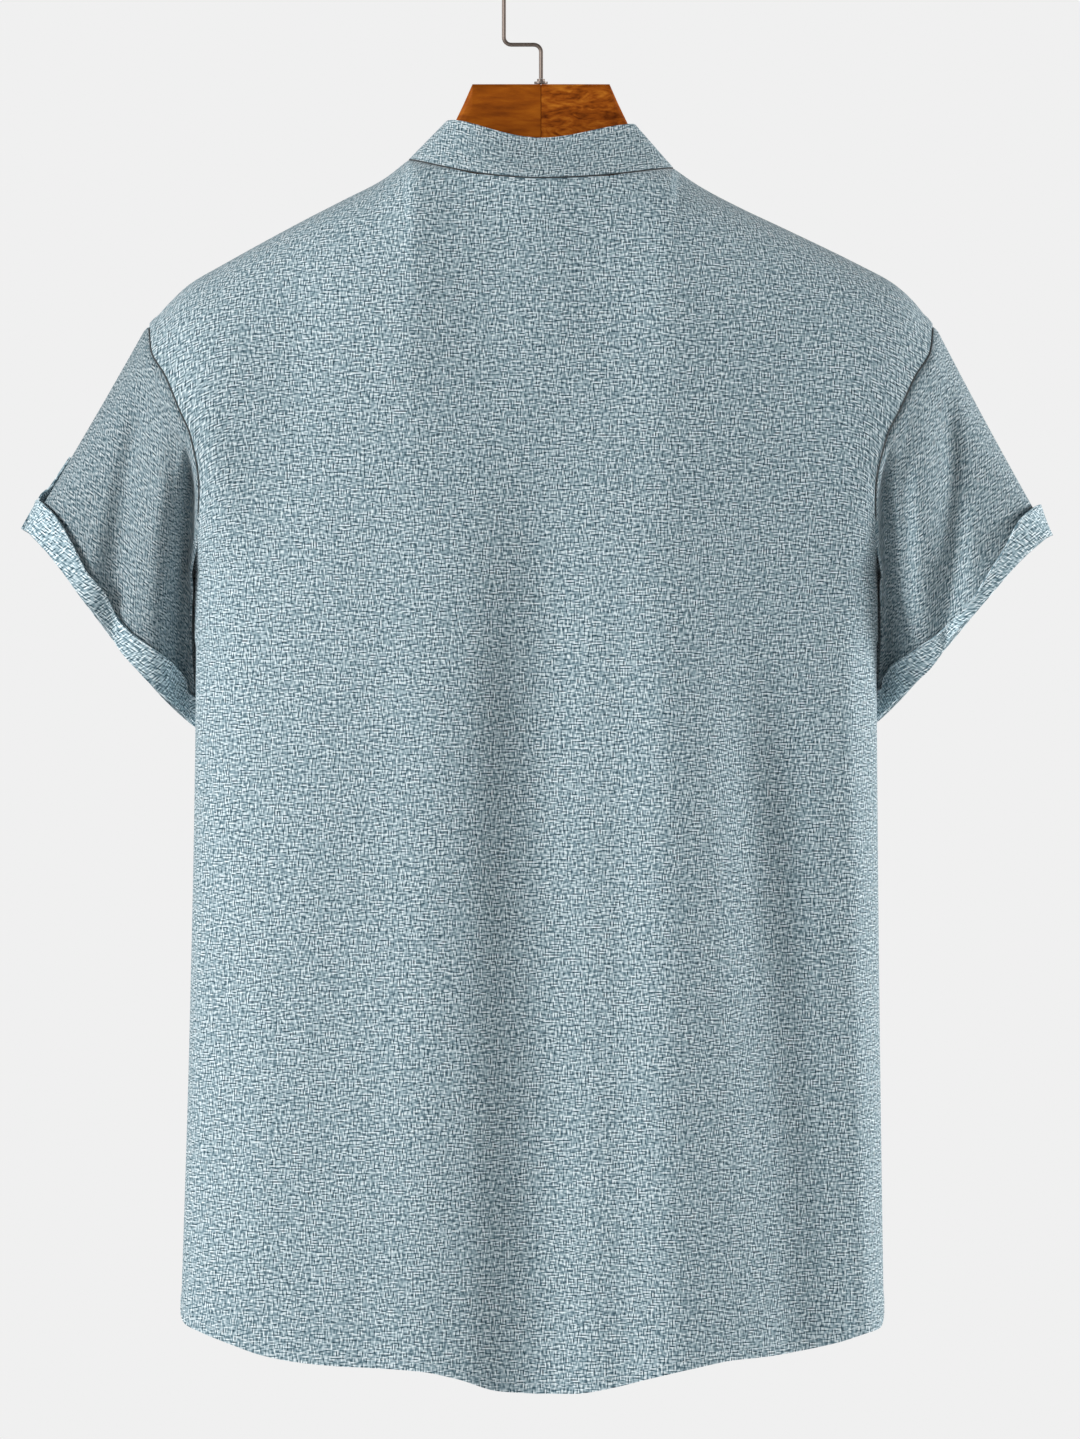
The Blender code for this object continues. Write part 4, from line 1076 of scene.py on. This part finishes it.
def sleeve_ring(length, side, count):
    """One ring of the sleeve; length runs 0 at the armhole to 1 at the opening."""
    return [sleeve_point(2 * math.pi * step / count, length, side) for step in range(count)]


def outward_ring(rings, side):
    """Order each ring's points so that the wall's outer side faces away from the arm."""
    rings = np.asarray(rings)
    return rings[:, ::-1] if side > 0 else rings


def sleeve_grain(rings, side):
    """Grain map of a sleeve or cuff: threads run along and across the sleeve's length."""
    closed = np.concatenate([rings, rings[:, :1]], axis=1)
    return flat_grain(closed, (-SLEEVE_GRAIN_WAY[0] * side, 0, -SLEEVE_GRAIN_WAY[1]), len(rings) - 1)


def tuck_sleeve(rings, lengths, side):
    """Sink the sleeve into its seam and carry it on under the body's edge."""
    normals = grid_normals(rings, True)
    sink = SEAM_SINK * (1 - ease(np.array(lengths) / SEAM_ROLL_SHARE))
    rings = rings - normals * sink[:, None, None]
    under = []
    for share in TUCK_SHARES:
        inward = np.array([-side * SEAM_TUCK * share, 0.0, 0.0])
        under.append(rings[0] + inward - normals[0] * SEAM_UNDER * ease(share))
    return np.concatenate([np.array(under), rings])


def make_sleeve(side):
    """Sleeve, its turned-up cuff and its roll tab."""
    word = WORDS[side]
    count = max(int(168 * DETAIL) // 2 * 2, 24)
    lengths = steps(0, 1, 64)
    rings = outward_ring([sleeve_ring(length, side, count) for length in lengths], side)
    rings = tuck_sleeve(rings, lengths, side)
    grain = sleeve_grain(rings, side)
    piece = shell(f"sleeve_{word}_cloth", rings, SLEEVE_SHADED_LOOKS[side], ring=True, grain=grain)[0]
    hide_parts(f"sleeve_{word}")
    make_cuff(side, word, count)
    make_tab(side, word)
    finish_stitches(f"sleeve_{word}_stitches")


def make_cuff(side, word, count):
    """Turned-up cuff lying on the sleeve."""
    lengths = np.linspace(0.5, 1, CUFF_SAMPLES + 1)
    fine = np.array([sleeve_ring(length, side, count) for length in lengths])
    whole = np.array(sleeve_ring(0.0, side, count))
    reach = np.linalg.norm(whole - fine[-1], axis=1)
    turns = np.linspace(0, 360, count, endpoint=False)
    widths = CUFF_OF[side](turns)
    every = np.arange(count)
    rings = []
    for row in steps(0, 1, 14):
        place = (1 - widths / reach * (1 - row) - 0.5) * 2 * CUFF_SAMPLES
        place = np.minimum(place, CUFF_SAMPLES - 0.001)
        low = place.astype(int)
        rings.append(mix(fine[low, every], fine[low + 1, every], (place - low)[:, None]))
    rings = outward_ring(rings, side)
    lift = CLOTH / 2 + CUFF_GAP + TURNED_CLOTH / 2
    flare = FLARE_OF(turns)
    flare = flare[::-1] if side > 0 else flare
    free = (1 - np.linspace(0, 1, len(rings))) ** CUFF_FLARE_POWER
    rings = rings + grid_normals(rings, True) * (free[:, None] * flare[None])[..., None]
    piece, surface, normals = shell(
        f"cuff_{word}_cloth", rings, CUFF_LIT_LOOKS[side],
        TURNED_CLOTH, ring=True, lift=lift, grain=sleeve_grain(rings, side))
    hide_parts(f"cuff_{word}")
    closed = np.concatenate([surface, surface[:, :1]], axis=1)
    ways = np.concatenate([normals, normals[:, :1]], axis=1)
    stitch_run(mix(closed[0], closed[1], CUFF_STITCH), ways[0])


def sleeve_normal(turn, length, side):
    """Way out of the sleeve at a place on it."""
    step = 0.01
    round_it = sleeve_point(turn + step, length, side) - sleeve_point(turn - step, length, side)
    down = sleeve_point(turn, length, side) - sleeve_point(turn, length - step, side)
    return unit(np.cross(round_it, down)) * -side


def make_tab(side, word):
    """Roll tab on the sleeve's own surface, moved out over the cuff, with its edge stitching."""
    grid = []
    for part in np.linspace(0, 1, TAB_ROWS):
        length = mix(TAB_START, 1.0, part)
        over_cuff = ease((length - CUFF_EDGE_SHARE) / TAB_CLIMB_SHARE + 0.5)
        line = []
        for share in np.linspace(-1, 1, TAB_COLUMNS):
            turn = math.radians(TAB_TURNS[side] + TAB_HALF_TURN * share)
            lift = CLOTH + SEAM_GAP * 2 + (TURNED_CLOTH + SEAM_GAP * 2) * over_cuff
            lift += TAB_STAND_OFF * math.sin(math.pi * part) * share ** 2
            line.append(sleeve_point(turn, length, side) + sleeve_normal(turn, length, side) * lift)
        grid.append(line)
    piece, surface, normals = shell(f"tab_{word}_cloth", outward_ring(grid, side), CLOTH_LOOK)
    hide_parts(f"tab_{word}")
    stitch_run(surface[1:, 1], normals[1:, 1])
    stitch_run(surface[1:, -2], normals[1:, -2])
    stitch_run(surface[1, 1:-1], normals[1, 1:-1])


# ---- the hanger and the buttons
JOINT_REACH = 0.0008  # the joint's faces stand this close to the middle of the hanger
GLUE_HALF = 0.0003
GLUE_INSET = 0.0004


def make_glue_line():
    """Dark glue line that fills the joint between the hanger's two halves."""
    half = bpy.data.objects["hanger_left"]
    places = [half.matrix_world @ vertex.co for vertex in half.data.vertices]
    corners = [(place.y, place.z) for place in places if place.x < JOINT_REACH]
    corners = np.unique(np.round(corners, 4), axis=0)
    middle = (corners.max(axis=0) + corners.min(axis=0)) / 2
    away = corners - middle
    corners = corners[np.argsort(np.arctan2(away[:, 1], away[:, 0]))]
    corners = corners + unit(middle - corners) * GLUE_INSET
    vertices = [(x, y, z) for x in (-GLUE_HALF, GLUE_HALF) for y, z in corners]
    piece = add_piece("hanger_glue_line", vertices, tube_faces(2, len(corners)), GLUE_LOOK)


def dress_nodes():
    """Give the hard pieces their finishes."""
    looks = {"hanger_left": WOOD_LEFT, "hanger_right": WOOD_RIGHT}
    looks.update({"hook": WIRE_LOOK, "hook_ferrule": WIRE_LOOK})
    buttons = ["tab_button_left", "tab_button_right"] + [f"button_{number}" for number in range(1, 8)]
    for name in [*looks, *buttons]:
        for slot in bpy.data.objects[name].material_slots:
            slot.material = looks.get(name, BUTTON_LOOK)


# ---- stage, light and camera
IMAGE_WIDTH = 1080
IMAGE_HEIGHT = 1439
METRES_PER_PIXEL = 0.00062
CAMERA_DISTANCE = 6.0
HANGER_TOP_PIXEL = 84  # row of the hanger's flat top
HANGER_TOP_Z = -0.0750
MIDDLE_PIXEL = 541  # column of the hanger's middle
SENSOR_WIDTH = 36.0
SENSOR_HEIGHT = 24.0
BACKGROUND = 0.871  # linear value of the pale backdrop
OVERHEAD = 0.08  # and of the dim part above and below it
DIM_LEVELS = (0.085, 0.17)  # sines of the heights between which it dims
FLOOR_RADIUS = 3.5
FLOOR_Z = -1.35
FLOOR_SIDES = 96
LIGHT_AIM = (0.0, 0.0, -0.45)


def make_camera():
    """Level camera behind the shirt."""
    data = bpy.data.cameras.new("camera")
    data.sensor_fit = "VERTICAL"
    data.sensor_height = SENSOR_HEIGHT
    data.sensor_width = SENSOR_WIDTH
    data.lens = SENSOR_HEIGHT * CAMERA_DISTANCE / (IMAGE_HEIGHT * METRES_PER_PIXEL)
    camera = add_object("camera", data)
    x = (MIDDLE_PIXEL - IMAGE_WIDTH / 2) * METRES_PER_PIXEL
    z = HANGER_TOP_Z - (IMAGE_HEIGHT / 2 - HANGER_TOP_PIXEL) * METRES_PER_PIXEL
    camera.location = (x, CAMERA_DISTANCE, z)
    camera.rotation_euler = (math.radians(90), 0, math.radians(180))
    bpy.context.scene.camera = camera


def area_light(name, place, size, power):
    """Soft square light aimed at the shirt."""
    data = bpy.data.lights.new(name, "AREA")
    data.size = size
    data.energy = power
    light = add_object(name, data)
    light.location = place
    light.rotation_euler = (Vector(LIGHT_AIM) - Vector(place)).to_track_quat("-Z", "Y").to_euler()


def make_world():
    """Pale backdrop near the horizon that dims overhead, so that folds keep their shade."""
    world = bpy.data.worlds.new("studio")
    world.use_nodes = True
    tree = world.node_tree
    direction = node(tree, "ShaderNodeTexCoord").outputs["Generated"]
    split = node(tree, "ShaderNodeSeparateXYZ", Vector=direction)
    level = math_node(tree, "ABSOLUTE", split.outputs["Z"])
    limits = dict(zip(("From Min", "From Max"), DIM_LEVELS))
    dim = map_range(tree, level, BACKGROUND, OVERHEAD, interpolation_type="SMOOTHSTEP", **limits)
    tree.links.new(dim, tree.nodes["Background"].inputs["Color"])
    bpy.context.scene.world = world


def make_floor():
    """Pale floor below the hanging shirt."""
    turns = [2 * math.pi * step / FLOOR_SIDES for step in range(FLOOR_SIDES)]
    rim = [(FLOOR_RADIUS * math.cos(turn), FLOOR_RADIUS * math.sin(turn), FLOOR_Z) for turn in turns]
    mesh = bpy.data.meshes.new("floor")
    mesh.from_pydata(rim, [], [tuple(range(FLOOR_SIDES))])
    floor = add_object("floor", mesh)
    material, _, shader = new_material("floor")
    shader.inputs["Base Color"].default_value = (0.82, 0.82, 0.82, 1.0)
    shader.inputs["Roughness"].default_value = 0.9
    mesh.materials.append(material)


def make_lights():
    """Soft key from the viewer's left and a rim light from the viewer's right."""
    area_light("key", (4.7, 2.9, 1.4), 1.3, 294.0)
    area_light("rim", (-4.7, -0.3, 0.2), 1.5, 180.0)


make_camera()
make_world()
make_floor()
make_lights()
dress_nodes()
make_glue_line()
make_body()
make_collar()
make_sleeve(1)
make_sleeve(-1)
bpy.context.scene.view_settings.view_transform = "Standard"
